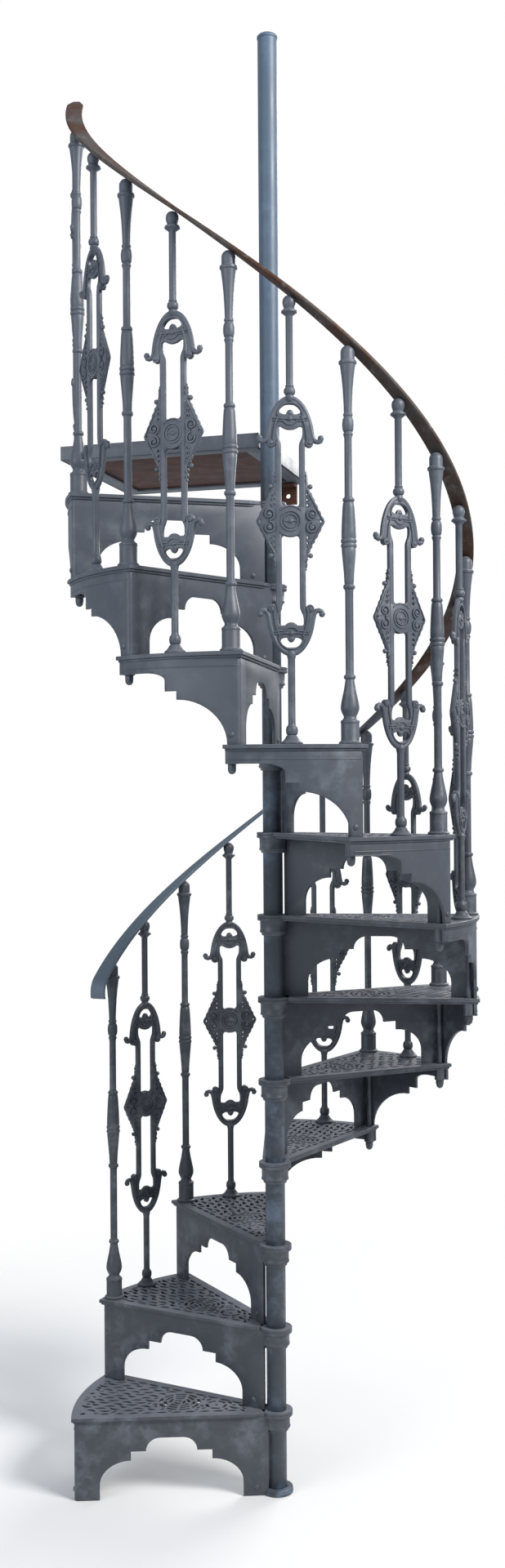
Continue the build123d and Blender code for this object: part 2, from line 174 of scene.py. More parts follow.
def at_baluster(step, ahead):
    """Matrix that stands a baluster on its tread, turned by part of a step."""
    s = sizes()
    turn = azimuth(step) - ahead * s.step_angle
    return (
        Matrix.Translation((0, 0, step * s.rise))
        @ Matrix.Rotation(turn, 4, "Z")
        @ Matrix.Translation((s.baluster_circle, 0, 0))
    )


# Modelling tools

merge_gap = 0.00002
fine_merge_gap = 0.000005


def clear_selection():
    if bpy.context.object and bpy.context.object.mode != "OBJECT":
        bpy.ops.object.mode_set(mode="OBJECT")
    bpy.ops.object.select_all(action="DESELECT")


def pick(*pieces):
    clear_selection()
    for piece in pieces:
        piece.select_set(True)
    bpy.context.view_layer.objects.active = pieces[0]


def shade(piece, angle=35):
    pick(piece)
    bpy.ops.object.shade_smooth_by_angle(angle=math.radians(angle))


def joined(name, pieces):
    """Join pieces to one object."""
    pick(*pieces)
    if len(pieces) > 1:
        bpy.ops.object.join()
    piece = bpy.context.object
    piece.name = name
    piece.data.name = name
    return piece


def copied(piece, name, matrix):
    """A copy with its own mesh, moved in its mesh."""
    pick(piece)
    bpy.ops.object.duplicate(linked=False)
    copy = bpy.context.object
    copy.name = name
    copy.data.name = name
    copy.data.transform(matrix)
    return copy


def moved(piece, matrix):
    piece.data.transform(matrix)
    piece.data.update()
    return piece


def lifted(piece, height):
    return moved(piece, Matrix.Translation((0, 0, height)))


def discard(piece):
    bpy.data.objects.remove(piece, do_unlink=True)


def lathe(name, profile, sides=32, closed=False):
    """Turn a profile of (radius, height) pairs round the Z axis."""
    clear_selection()
    bpy.ops.mesh.primitive_plane_add(size=0.01, location=(0, 0, 0))
    piece = bpy.context.object
    bpy.ops.object.mode_set(mode="EDIT")
    bpy.ops.mesh.select_all(action="SELECT")
    bpy.ops.mesh.merge(type="CENTER")
    radius, height = profile[0]
    bpy.ops.transform.translate(value=(radius, 0, height))
    pairs = list(profile[1:]) + ([profile[0]] if closed else [])
    for next_radius, next_height in pairs:
        step = (next_radius - radius, 0, next_height - height)
        bpy.ops.mesh.extrude_vertices_move(TRANSFORM_OT_translate={"value": step})
        radius, height = next_radius, next_height
    bpy.ops.mesh.select_all(action="SELECT")
    bpy.ops.mesh.spin(steps=sides, angle=2 * math.pi, center=(0, 0, 0), axis=(0, 0, 1))
    bpy.ops.mesh.select_all(action="SELECT")
    bpy.ops.mesh.remove_doubles(threshold=merge_gap)
    bpy.ops.mesh.normals_make_consistent(inside=False)
    bpy.ops.object.mode_set(mode="OBJECT")
    piece.name = name
    shade(piece)
    return piece


def drawn(name, loops, closed=True, flat=True):
    """A curve drawn through lists of points."""
    clear_selection()
    bpy.ops.curve.primitive_nurbs_path_add(location=(0, 0, 0))
    piece = bpy.context.object
    piece.name = name
    curve = piece.data
    curve.splines.clear()
    for loop in loops:
        spline = curve.splines.new("POLY")
        spline.points.add(len(loop) - 1)
        for point, place in zip(spline.points, loop):
            point.co = (place[0], place[1], 0 if flat else place[2], 1)
        spline.use_cyclic_u = closed
    curve.dimensions = "2D" if flat else "3D"
    return piece


def meshed(piece, angle):
    """Turn a drawn curve into a clean mesh, smooth up to an angle."""
    pick(piece)
    bpy.ops.object.convert(target="MESH")
    piece = bpy.context.object
    bpy.ops.object.mode_set(mode="EDIT")
    bpy.ops.mesh.select_all(action="SELECT")
    bpy.ops.mesh.remove_doubles(threshold=fine_merge_gap)
    bpy.ops.mesh.normals_make_consistent(inside=False)
    bpy.ops.object.mode_set(mode="OBJECT")
    shade(piece, angle)
    return piece


def cast_sheet(name, loops, thickness, edge=0.0008, resolution=1):
    """A flat sheet with rounded edges; the first loop is its outline, the others are holes."""
    piece = drawn(name, loops)
    curve = piece.data
    curve.fill_mode = "BOTH"
    curve.extrude = thickness / 2 - edge
    curve.bevel_depth = edge
    curve.bevel_resolution = resolution
    curve.offset = -edge
    return meshed(piece, 40)


def wire(name, paths, radius, closed=False, resolution=1, ends=1.0):
    """Round beads along paths of points, thinner towards a free end."""
    piece = drawn(name, paths, closed=closed, flat=False)
    curve = piece.data
    curve.fill_mode = "FULL"
    curve.bevel_depth = radius
    curve.bevel_resolution = resolution
    curve.use_fill_caps = True
    for spline in curve.splines:
        count = len(spline.points)
        for index, point in enumerate(spline.points):
            along = index / max(1, count - 1)
            point.radius = 1.0 + (ends - 1.0) * along
    return meshed(piece, 60)


def ball(name, place, radius, squash=1.0):
    clear_selection()
    bpy.ops.mesh.primitive_uv_sphere_add(
        segments=16, ring_count=8, radius=radius, location=(0, 0, 0)
    )
    piece = bpy.context.object
    piece.name = name
    moved(piece, Matrix.Translation(place) @ Matrix.Diagonal((1, 1, squash, 1)))
    shade(piece, 180)
    return piece


def arc(centre, radius_x, radius_y, start, end, steps):
    """Points along part of an ellipse, ends included, angles in degrees."""
    points = []
    for index in range(steps + 1):
        angle = math.radians(start + (end - start) * index / steps)
        points.append(
            (centre[0] + radius_x * math.cos(angle), centre[1] + radius_y * math.sin(angle))
        )
    return points


def spiral(centre, outer, inner, start, turns, steps=22):
    """Points of a scroll that winds in to its eye."""
    points = []
    for index in range(steps + 1):
        along = index / steps
        angle = math.radians(start) + along * turns * 2 * math.pi
        radius = outer + (inner - outer) * along
        points.append(
            (centre[0] + radius * math.cos(angle), centre[1] + radius * math.sin(angle))
        )
    return points


def finished(piece, node, material):
    """Give a piece its material and let it stand for its CAD node."""
    piece.data.materials.clear()
    piece.data.materials.append(material)
    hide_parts(node)
    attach(piece, "root")


# Finishes

dust_colour = (0.185, 0.195, 0.230)
rubbed_steel = (0.24, 0.23, 0.225)
rubbed_rust = (0.13, 0.06, 0.045)


def new_material(name):
    material = bpy.data.materials.get(name)
    if material:
        return material, None, None
    material = bpy.data.materials.new(name)
    material.use_nodes = True
    tree = material.node_tree
    shader = tree.nodes["Principled BSDF"]
    return material, tree, shader


def noise(tree, place, scale, detail=4.0, roughness=0.55):
    node = tree.nodes.new("ShaderNodeTexNoise")
    node.inputs["Scale"].default_value = scale
    node.inputs["Detail"].default_value = detail
    node.inputs["Roughness"].default_value = roughness
    tree.links.new(place, node.inputs["Vector"])
    return node.outputs["Fac"]


def ramp(tree, value, low, high):
    node = tree.nodes.new("ShaderNodeMapRange")
    node.interpolation_type = "SMOOTHSTEP"
    node.inputs["From Min"].default_value = low
    node.inputs["From Max"].default_value = high
    tree.links.new(value, node.inputs["Value"])
    return node.outputs["Result"]


def multiply(tree, first, second):
    node = tree.nodes.new("ShaderNodeMath")
    node.operation = "MULTIPLY"
    tree.links.new(first, node.inputs[0])
    if isinstance(second, float):
        node.inputs[1].default_value = second
    else:
        tree.links.new(second, node.inputs[1])
    return node.outputs[0]


def mixed(tree, amount, first, second):
    node = tree.nodes.new("ShaderNodeMix")
    node.data_type = "RGBA"
    tree.links.new(amount, node.inputs["Factor"])
    for value, socket in ((first, node.inputs["A"]), (second, node.inputs["B"])):
        if isinstance(value, bpy.types.NodeSocket):
            tree.links.new(value, socket)
        else:
            socket.default_value = (*value, 1)
    return node.outputs["Result"]


def bumped(tree, shader, height, distance, strength=1.0):
    node = tree.nodes.new("ShaderNodeBump")
    node.inputs["Strength"].default_value = strength
    node.inputs["Distance"].default_value = distance
    tree.links.new(height, node.inputs["Height"])
    tree.links.new(node.outputs["Normal"], shader.inputs["Normal"])


def glossed(tree, shader, place, scale, low, high):
    """Roughness that wanders between two values."""
    gloss = tree.nodes.new("ShaderNodeMapRange")
    gloss.inputs["To Min"].default_value = low
    gloss.inputs["To Max"].default_value = high
    tree.links.new(noise(tree, place, scale, 6.0), gloss.inputs["Value"])
    tree.links.new(gloss.outputs["Result"], shader.inputs["Roughness"])


def facing_up(tree):
    """Value that is 1 on surfaces that face the sky."""
    geometry = tree.nodes.new("ShaderNodeNewGeometry")
    split = tree.nodes.new("ShaderNodeSeparateXYZ")
    tree.links.new(geometry.outputs["Normal"], split.inputs["Vector"])
    return ramp(tree, split.outputs["Z"], 0.55, 1.0)


def by_height(tree, place, low, high):
    """Value that goes from 0 to 1 between two heights."""
    split = tree.nodes.new("ShaderNodeSeparateXYZ")
    tree.links.new(place, split.inputs["Vector"])
    return ramp(tree, split.outputs["Z"], low, high)


def painted_iron(name, paint, chalk, rust, low_paint_and_shade, levels, rusty=0.5, dusty=0.6, grain=0.00025):
    """Old oil paint on a sand casting: chalky patches, dust on ledges, specks of rust, painted
    shade low down.
    """
    material, tree, shader = new_material(name)
    if tree is None:
        return material
    place = tree.nodes.new("ShaderNodeTexCoord").outputs["Object"]
    clouds = ramp(tree, noise(tree, place, 5.0, 6.0, 0.6), 0.36, 0.68)
    patches = ramp(tree, noise(tree, place, 23.0, 8.0, 0.65), 0.42, 0.66)
    worn = multiply(tree, multiply(tree, clouds, patches), 0.6)
    # Painted shade: below the given heights the paint goes over to the darker low colour, which
    # stands in for shade.
    paint = mixed(tree, by_height(tree, place, *levels), low_paint_and_shade, paint)
    colour = mixed(tree, worn, paint, chalk)
    dust = multiply(tree, facing_up(tree), dusty)
    colour = mixed(tree, dust, colour, dust_colour)
    specks = ramp(tree, noise(tree, place, 38.0, 10.0, 0.72), 0.66 - 0.08 * rusty, 0.74)
    streaks = ramp(tree, noise(tree, place, 7.0, 4.0, 0.6), 0.50, 0.72)
    rust_amount = multiply(tree, multiply(tree, specks, streaks), 0.9)
    colour = mixed(tree, rust_amount, colour, rust)
    tree.links.new(colour, shader.inputs["Base Color"])
    glossed(tree, shader, place, 15.0, 0.28, 0.58)
    bumped(tree, shader, noise(tree, place, 420.0, 6.0, 0.7), grain)
    return material


def rusty_steel(name, steel, rust, light, low_paint_and_shade=None, levels=(0, 1), pitted=0.0003):
    """Bare steel gone brown, with brighter rubbed patches."""
    material, tree, shader = new_material(name)
    if tree is None:
        return material
    place = tree.nodes.new("ShaderNodeTexCoord").outputs["Object"]
    clouds = ramp(tree, noise(tree, place, 9.0, 6.0, 0.6), 0.38, 0.64)
    colour = mixed(tree, clouds, steel, rust)
    rubbed = ramp(tree, noise(tree, place, 30.0, 8.0, 0.7), 0.54, 0.70)
    colour = mixed(tree, multiply(tree, rubbed, 0.45), colour, light)
    if low_paint_and_shade:
        colour = mixed(tree, by_height(tree, place, *levels), low_paint_and_shade, colour)
    tree.links.new(colour, shader.inputs["Base Color"])
    shader.inputs["Metallic"].default_value = 0.35
    glossed(tree, shader, place, 24.0, 0.45, 0.85)
    bumped(tree, shader, noise(tree, place, 260.0, 8.0, 0.75), pitted)
    return material


def casting_paint():
    c = colours()
    # Painted shade: below 2.9 m the castings darken, to under half their paint colour below 0.9 m,
    # standing in for the shade low in the stair.
    shaded_casting = tuple(0.46 * part for part in c.casting)
    return painted_iron("old_blue_grey_paint", tuple(c.casting), tuple(c.casting_light),
                        tuple(c.rust), shaded_casting, (0.9, 2.9))


def pole_paint():
    c = colours()
    lighter = tuple(1.6 * part for part in c.pole)
    # Painted shade: below the top tread the pole goes over to its dark shade colour, where it
    # stands among the treads.
    return painted_iron("old_pole_paint", tuple(c.pole), lighter, tuple(c.rust), tuple(c.pole_shade),
                        (2.46, 2.60), rusty=0.2, dusty=0.2)


def rail_finish():
    c = colours()
    worn = tuple(0.5 * part for part in c.rust)
    return rusty_steel("handrail_steel", tuple(c.rail), worn, rubbed_steel,
                       tuple(c.rail_low), (1.80, 2.05))


def plate_finish():
    c = colours()
    worn = tuple(0.6 * part for part in c.rust)
    return rusty_steel("landing_rust", tuple(c.plate), worn, rubbed_rust)


# Tread castings

riser_start = 0.022
riser_reach = 0.024
corner_radius = 0.009
wall = 0.008
skirt_radius = 0.497
skirt_band = 0.042
moulding_step = 0.004
nosing_reach = 0.032
back_reach = 0.015
neck_reach = 0.062
neck_run = 0.022
neck_setback = 0.006
hub_radius = 0.0395
hub_bore = 0.0245
seat_gap = 0.0003

# Plain margins of the pierced plate, and the reach past which two holes can't touch
edge_margin = 0.0185
outer_margin = 0.0180
hub_margin = 0.066
boss_margin = 0.0180
hole_span = 0.045

# Leaves of the pierced plate as (length, width), the largest that fits is cut
wave_leaves = ((0.0300, 0.0096), (0.0220, 0.0090), (0.0150, 0.0082))
gap_leaves = ((0.0180, 0.0078), (0.0115, 0.0070))

# Arched opening of the riser: leg, shoulder arc and crown arc, heights from the foot
riser_leg = 0.062
arch_spring = 0.036
shoulder_run, shoulder_rise = 0.076, 0.058
crown_gap, crown_foot = 0.037, 0.116
crown_run, crown_rise = 0.034, 0.032

# Arched opening of the skirt, in degrees along it and heights from the foot
skirt_leg, skirt_arch, skirt_step, skirt_curl = 3.5, 13.6, 3.4, 6.8
skirt_arch_height, skirt_step_height, skirt_curl_height = 0.100, 0.119, 0.018
wall_top_gap = 0.0095


def wedge_points(inset, inner=0.032, arc_steps=16):
    """Tread outline drawn in by an inset."""
    s = sizes()
    front = nosing_reach - inset
    neck = front - neck_setback
    back = back_reach - inset
    outer = s.tread_radius - inset
    points = [(inner, neck), (neck_reach - neck_run, neck)]
    for index in range(1, 7):
        along = index / 6
        ease = along * along * (3 - 2 * along)
        points.append((neck_reach - neck_run + neck_run * along, neck + neck_setback * ease))
    start = math.asin(front / outer)
    end = -s.step_angle - math.asin(back / outer)
    for index in range(arc_steps + 1):
        angle = start + (end - start) * index / arc_steps
        points.append((outer * math.cos(angle), outer * math.sin(angle)))
    along = (math.cos(s.step_angle), -math.sin(s.step_angle))
    across = (-math.sin(s.step_angle), -math.cos(s.step_angle))
    points.append((inner * along[0] + back * across[0], inner * along[1] + back * across[1]))
    return points


def on_plate(reach, aside):
    """Point on the plate, by reach along its middle line and distance to its front side."""
    half = -sizes().step_angle / 2
    return (
        reach * math.cos(half) - aside * math.sin(half),
        reach * math.sin(half) + aside * math.cos(half),
    )


def boss_centre(turn):
    """Centre of a rod or stud hole, by its turn back from the tread's own baluster."""
    circle = sizes().baluster_circle
    return (circle * math.cos(turn), -circle * math.sin(turn))


def on_open_plate(point):
    """True where a point keeps clear of the plate's plain margins, its walls and its bosses."""
    s = sizes()
    x, y = point
    reach = math.hypot(x, y)
    front_gap = nosing_reach - y
    back_gap = back_reach + x * math.sin(s.step_angle) + y * math.cos(s.step_angle)
    if min(front_gap, back_gap) < edge_margin or s.tread_radius - reach < outer_margin:
        return False
    if reach < hub_margin:
        return False
    turns = (0, s.step_angle / 2, s.step_angle)
    return all(math.dist(point, boss_centre(turn)) >= boss_margin for turn in turns)


def middle_of(loop):
    return (sum(p[0] for p in loop) / len(loop), sum(p[1] for p in loop) / len(loop))


def leaves_rib(loop, others, rib=0.0040):
    """True where a hole lies on the open plate and leaves a rib of iron all round."""
    if not all(on_open_plate(point) for point in loop):
        return False
    centre = middle_of(loop)
    for other, other_centre in others:
        if math.dist(centre, other_centre) > hole_span:
            continue
        if any(math.dist(a, b) < rib for a in loop for b in other):
            return False
    return True


def leaf_hole(reach, aside, length, width, turn, bow=0.25):
    """Curved leaf-shaped hole."""
    points = []
    steps = 6
    for side in (1, -1):
        for index in range(steps):
            along = index / steps if side == 1 else 1 - index / steps
            x = (along - 0.5) * length
            swell = math.sin(math.pi * along) ** 0.8 * width / 2
            y = side * swell + bow * length * (along - 0.5) ** 2 * 2
            points.append((x, y))
    cos, sin = math.cos(turn), math.sin(turn)
    return [
        on_plate(reach + x * cos - y * sin, aside + x * sin + y * cos) for x, y in points
    ]


def ring_slot(reach, aside, inner, outer, start, end):
    """Curved slot of a rosette."""
    points = arc((0, 0), outer, outer, start, end, 6) + arc((0, 0), inner, inner, end, start, 6)
    return [on_plate(reach + x, aside + y) for x, y in points]


def rosette_slots(reach, aside, rings):
    """Rings of curved slots round one centre, as (inner, outer, number, first angle)."""
    loops = [[on_plate(reach + x, aside + y) for x, y in arc((0, 0), 0.0042, 0.0042, 0, 315, 7)]]
    for inner, outer, number, first in rings:
        pitch = 360 / number
        for index in range(number):
            start = first + index * pitch
            loops.append(ring_slot(reach, aside, inner, outer, start, start + pitch * 0.74))
    return loops


def round_hole(centre, radius):
    return arc(centre, radius, radius, 0, 330, 11)


def pierced_pattern():
    """Every hole of the plate: rod holes, two ring rosettes, and waves of curved slots."""
    s = sizes()
    holes = []

    def cut(loop):
        if leaves_rib(loop, holes):
            holes.append((loop, middle_of(loop)))
            return True
        return False

    def cut_largest(shapes, reach, aside, turn, bow):
        for length, width in shapes:
            if cut(leaf_hole(reach, aside, length, width, turn, bow)):
                return

    large =((0.0085, 0.0145, 3, 20), (0.0200, 0.0268, 5, 40), (0.0322, 0.0394, 7, 5),
             (0.0448, 0.0520, 9, 25))
    small = ((0.0080, 0.0140, 3, 50), (0.0195, 0.0262, 5, 0))
    for loop in rosette_slots(0.246, 0.008, large) + rosette_slots(0.152, 0.007, small):
        cut(loop)
    # Long slots beside the front and the back edge
    for side, margin in ((1, -0.0045), (-1, 0.0125)):
        for index in range(11):
            reach = 0.105 + index * 0.0335
            aside = side * (math.tan(s.step_angle / 2) * reach - margin)
            turn = side * s.step_angle / 2
            cut(leaf_hole(reach, aside, 0.0295, 0.0088, turn, 0.10 * side))
    # Waves of crescents that run along the tread
    for row in range(-8, 9):
        aside = row * 0.0172
        for index in range(12):
            reach = 0.086 + (index + 0.5 * (row % 2)) * 0.0360
            bow = 0.30 if (row // 2 + index) % 2 else -0.30
            tilt = math.radians(14 if index % 2 else -12)
            cut_largest(wave_leaves, reach, aside, tilt, bow)
    # Small leaves in the gaps that are left
    for row in range(-20, 24):
        for index in range(60):
            reach, aside = 0.080 + index * 0.0070, row * 0.0068
            tilt = math.radians(55 if (row + index) % 2 else -40)
            cut_largest(gap_leaves, reach, aside, tilt, 0.2)
    loops = [loop for loop, centre in holes]
    for turn, radius in ((0, 0.0064), (s.step_angle / 2, 0.0054), (s.step_angle, 0.0064)):
        loops.append(round_hole(boss_centre(turn), radius))
    return loops


def wall_run():
    """Lengths of the riser, its rounded corner, and a degree of the skirt."""
    centre = math.sqrt((skirt_radius - corner_radius) ** 2 - (riser_reach - corner_radius) ** 2)
    lean = math.asin((riser_reach - corner_radius) / (skirt_radius - corner_radius))
    straight = centre - riser_start
    bend = corner_radius * (math.pi / 2 - lean)
    return straight, bend, lean, centre


def wall_place(along, height, depth):
    """Bend an unrolled point of the wall round the tread: riser, corner, skirt."""
    straight, bend, lean, centre = wall_run()
    if along <= straight:
        return Vector((riser_start + along, riser_reach - depth, height))
    if along <= straight + bend:
        angle = math.pi / 2 - (along - straight) / corner_radius
        radius = corner_radius - depth
        return Vector((
            centre + radius * math.cos(angle),
            riser_reach - corner_radius + radius * math.sin(angle),
            height,
        ))
    angle = lean - (along - straight - bend) / skirt_radius
    radius = skirt_radius - depth
    return Vector((radius * math.cos(angle), radius * math.sin(angle), height))


def wall_outline():
    """Unrolled outline of riser and skirt with both arched openings, heights from the foot."""
    s = sizes()
    straight, bend, lean, _ = wall_run()
    degree = math.radians(1) * skirt_radius
    corner = straight + bend + lean * skirt_radius
    corner -= math.asin(riser_reach / skirt_radius) * skirt_radius
    past_back = math.asin((back_reach - moulding_step) / skirt_radius)
    end = straight + bend + (lean + s.step_angle + past_back) * skirt_radius
    left, right = riser_leg, skirt_radius - riser_leg - riser_start
    middle, half = (left + right) / 2, (right - left) / 2
    shoulder = half - shoulder_run
    crown = shoulder - crown_gap - crown_run
    points = [(0, 0), (left, 0)]
    points += arc((middle - shoulder, arch_spring), shoulder_run, shoulder_rise, 180, 90, 10)
    points += [(middle - shoulder, crown_foot)]
    points += arc((middle - crown, crown_foot), crown_run, crown_rise, 180, 90, 7)
    points += arc((middle + crown, crown_foot), crown_run, crown_rise, 90, 0, 7)
    points += [(middle + shoulder, crown_foot)]
    points += arc((middle + shoulder, arch_spring), shoulder_run, shoulder_rise, 90, 0, 10)
    points += [(right, 0)]
    arch_start = corner + skirt_leg * degree
    arch_end = arch_start + skirt_arch * degree
    step_end = arch_end + skirt_step * degree
    curl_end = step_end + skirt_curl * degree
    band = s.rise - skirt_band
    top = s.rise - wall_top_gap
    points += arc((arch_end, 0), arch_end - arch_start, skirt_arch_height, 180, 90, 12)
    points += [(arch_end, skirt_step_height), (step_end, skirt_step_height)]
    points += arc((curl_end, band - skirt_curl_height), curl_end - step_end, skirt_curl_height,
                  180, 90, 7)
    points += [(end, band), (end, top), (0, top)]
    return points


def tread_wall():
    """Riser and skirt: the outline cut from sheet, sliced across, then bent to its path."""
    s = sizes()
    piece = cast_sheet("tread_wall", [wall_outline()], wall, edge=0.0012)
    straight, bend, _, _ = wall_run()
    pick(piece)
    bpy.ops.object.mode_set(mode="EDIT")
    cuts = [straight + bend * index / 6 for index in range(7)]
    cuts += [straight + bend + 0.02 * index for index in range(1, 15)]
    for cut in cuts:
        bpy.ops.mesh.select_all(action="SELECT")
        bpy.ops.mesh.bisect(plane_co=(cut, 0, 0), plane_no=(1, 0, 0))
    bpy.ops.object.mode_set(mode="OBJECT")
    for vertex in piece.data.vertices:
        along, height, side = vertex.co
        vertex.co = wall_place(along, height - s.rise + seat_gap, wall / 2 - side)
    piece.data.update()
    pick(piece)
    bpy.ops.object.mode_set(mode="EDIT")
    bpy.ops.mesh.select_all(action="SELECT")
    bpy.ops.mesh.normals_make_consistent(inside=False)
    bpy.ops.object.mode_set(mode="OBJECT")
    shade(piece, 40)
    return piece


def wall_bead(height, start, end, steps):
    """Path along the outer face of the wall."""
    return [
        tuple(wall_place(start + (end - start) * index / steps, height, 0))
        for index in range(steps + 1)
    ]


def tread_hub():
    profile = [
        (hub_bore, 0), (0.0385, 0), (hub_radius, -0.001), (hub_radius, -0.0055),
        (0.0380, -0.0066), (hub_radius, -0.0078), (hub_radius, -0.0128), (0.0382, -0.014),
        (0.0342, -0.0145), (0.0328, -0.0165), (0.0325, -0.038), (0.0335, -0.0395),
        (0.0338, -0.0415), (0.0330, -0.0435), (0.0300, -0.0452), (0.0290, -0.0470),
        (0.0288, -0.0500), (0.0280, -0.0510), (hub_bore, -0.0510),
    ]
    return lathe("tread_hub", profile, 40, closed=True)


def tread_master():
    """One tread casting at the origin."""
    s = sizes()
    plate = s.plate_thickness
    pieces = []
    top = cast_sheet("tread_plate", [wedge_points(0)] + pierced_pattern(), plate,
                     edge=0.0010, resolution=0)
    pieces.append(lifted(top, -plate / 2))
    lower = cast_sheet("nosing_line", [wedge_points(moulding_step), wedge_points(0.020, 0.06)],
                       0.0052, edge=0.0014)
    pieces.append(lifted(lower, -plate - 0.0024))
    pieces.append(tread_wall())
    pieces.append(tread_hub())
    straight, bend, lean, _ = wall_run()
    end = straight + bend + (lean + s.step_angle) * skirt_radius
    bead = wall_bead(-0.0315, straight, end, 24)
    foot_bead = wall_bead(-skirt_band + 0.0016, end - 0.09, end, 8)
    pieces.append(wire("skirt_beads", [bead, foot_bead], 0.0015))
    boss = lathe("rod_boss", [
        (0.0065, -0.004), (0.0128, -0.004), (0.0128, -0.036), (0.0135, -0.0375),
        (0.0135, -0.0412), (0.0128, -0.042), (0.0065, -0.042),
    ], 24, closed=True)
    out_to_circle = Matrix.Translation((s.baluster_circle, 0, 0))
    pieces.append(moved(boss, Matrix.Rotation(-s.step_angle, 4, "Z") @ out_to_circle))
    stud = lathe("stud_boss", [
        (0.0055, -0.004), (0.0125, -0.004), (0.0125, -0.0235), (0.0115, -0.025), (0.0055, -0.025),
    ], 24, closed=True)
    pieces.append(moved(stud, Matrix.Rotation(-s.step_angle / 2, 4, "Z") @ out_to_circle))
    for along, height in ((0.030, 0.020), (straight + bend + 0.012, 0.022)):
        head = lathe("foot_bolt", [(0, 0.0042), (0.0034, 0.0036), (0.0062, 0.0016), (0.0066, 0),
                                   (0.0066, -0.003), (0, -0.003)], 14)
        here = wall_place(along, height - s.rise, 0)
        out = (wall_place(along, height - s.rise, -0.01) - here).normalized()
        turn = Vector((0, 0, 1)).rotation_difference(out).to_matrix().to_4x4()
        pieces.append(moved(head, Matrix.Translation(here) @ turn))
    return joined("tread_master", pieces)


class MODEL_OT_treads(bpy.types.Operator):
    """Model the pierced tread casting once and copy it up the stair"""

    bl_idname = "staircase.treads"
    bl_label = "Treads"

    def execute(self, context):
        s = sizes()
        paint = casting_paint()
        master = tread_master()
        for step in range(1, s.tread_count + 1):
            tread = copied(master, f"tread_casting_{step:02d}", at_step(step))
            finished(tread, f"tread_{step:02d}", paint)
        discard(master)
        return {"FINISHED"}


# Balusters


def in_metres(points):
    """Points typed in millimetres."""
    return [(x * 0.001, y * 0.001) for x, y in points]


def bulge(radius, swell, low, high, steps=6):
    """Profile points of a rounded bead between two heights."""
    middle, half = (low + high) / 2, (high - low) / 2
    points = []
    for index in range(steps + 1):
        angle = math.pi * index / steps
        points.append((radius + swell * math.sin(angle), middle - half * math.cos(angle)))
    return points


def turned_master():
    """One turned baluster at the origin, with its tie rod, both profiles in millimetres."""
    dome = sizes().turned_height * 1000 - 15.5
    profile = [(0, 0.2), (24.2, 0.2), (25, 1), (25, 4.2), (24, 5.2), (21.2, 7), (20.2, 10),
               (20.2, 44)]
    profile += bulge(20.0, 0.9, 45, 52, 4)
    profile += [(16.5, 54), (14, 58), (14.2, 62), (17.5, 68), (20, 75), (20.5, 81), (19.4, 90),
                (16.5, 104), (13.2, 119), (10.8, 134), (10, 140)]
    profile += bulge(9.6, 3.6, 142, 152)
    profile += [(9, 156), (9, 334), (9.6, 337)]
    profile += bulge(9.6, 3.6, 339, 350)
    profile += [(10.4, 354), (11.2, 372), (13.2, 396), (15.2, 418), (16, 428)]
    profile += bulge(15.2, 2.4, 430, 439.5)
    profile += bulge(15.2, 2.4, 440.5, 450)
    profile += [(16.2, 453), (16.0, 466), (14.8, 494), (13.4, 518), (12.4, 528)]
    profile += bulge(10.4, 2.8, 530.5, 539.5, 5)
    profile += [(8.6, 543), (8.4, 670), (9.4, 674)]
    profile += bulge(9.2, 1.6, 675, 682, 4)
    profile += bulge(9.0, 3.8, 684, 716, 9)
    profile += bulge(9.2, 1.6, 718, 725, 4)
    profile += [(9, 728), (9.6, 748), (11.2, 778), (13.6, 804), (16.4, 826), (17, 831)]
    profile += bulge(18.0, 2.0, 832, 840, 4)
    profile += [(15.6, 841.5), (15.4, 845), (15.5, 858.5)]
    profile += [(15.05, dome + 4), (13.4, dome + 7.8), (10.9, dome + 11), (7.7, dome + 13.5),
                (4, dome + 15), (0, dome + 15.5)]
    body = lathe("turned_body", in_metres(profile), 28)
    rod_profile = in_metres([(0, -250), (5.5, -250), (6, -249), (6, 1), (0, 1)])
    return joined("turned_master", [body, lathe("tie_rod", rod_profile, 14)])


def upright(piece):
    """Stand a drawing made in X and Y on its foot, facing out from the pole."""
    return moved(piece, Matrix(((0, 0, 1, 0), (1, 0, 0, 0), (0, 1, 0, 0), (0, 0, 0, 1))))


panel_depth = 0.012
yoke_level = 0.294
arch_level = 0.654
rosette_level = 0.4848
band_depth = 0.0048
edge_depth = 0.0046


def both_sides(half):
    """Closed outline from its right half, drawn from the bottom up."""
    return half + [(-x, y) for x, y in reversed(half)]


def flipped(points):
    """The same points turned over about the middle of the panel, from yoke to arch."""
    return [(x, yoke_level + arch_level - y) for x, y in points]


def on_side(side, points):
    """The same points on the right (1) or the left (-1) of the panel."""
    return [(side * x, y) for x, y in points]


def panel_outline():
    """Outer outline of the ornate panel: yoke, bars, wings with ragged edges, and arch."""
    half = arc((0, yoke_level), 0.052, 0.101, -90, -6, 16)
    half += arc((0.0415, yoke_level), 0.009, 0.009, -10, 180, 10)
    half += in_metres([
        (32.5, 376), (35.5, 379), (33.4, 385), (37.0, 389), (34.4, 396), (38.5, 401),
        (35.0, 409), (38.0, 414), (42.5, 417.5), (43.0, 423), (47.0, 427), (47.6, 434),
        (52.5, 438), (54.0, 445), (59.0, 449.5), (61.0, 457), (66.0, 463), (68.0, 471),
        (73.0, 478), (75.0, 484.5), (72.6, 491), (68.0, 497), (66.4, 504), (61.4, 510.5),
        (59.6, 518), (54.8, 524), (53.2, 532), (48.4, 538), (47.2, 545), (42.8, 549),
        (41.4, 554.5), (36.4, 558), (38.6, 566), (34.6, 571), (36.8, 579), (33.4, 583),
        (35.2, 590), (32.5, 594),
    ])
    half += arc((0.0415, arch_level), 0.009, 0.009, 180, 370, 10)
    half += arc((0, arch_level), 0.054, 0.103, 6, 90, 16)
    return both_sides(half)


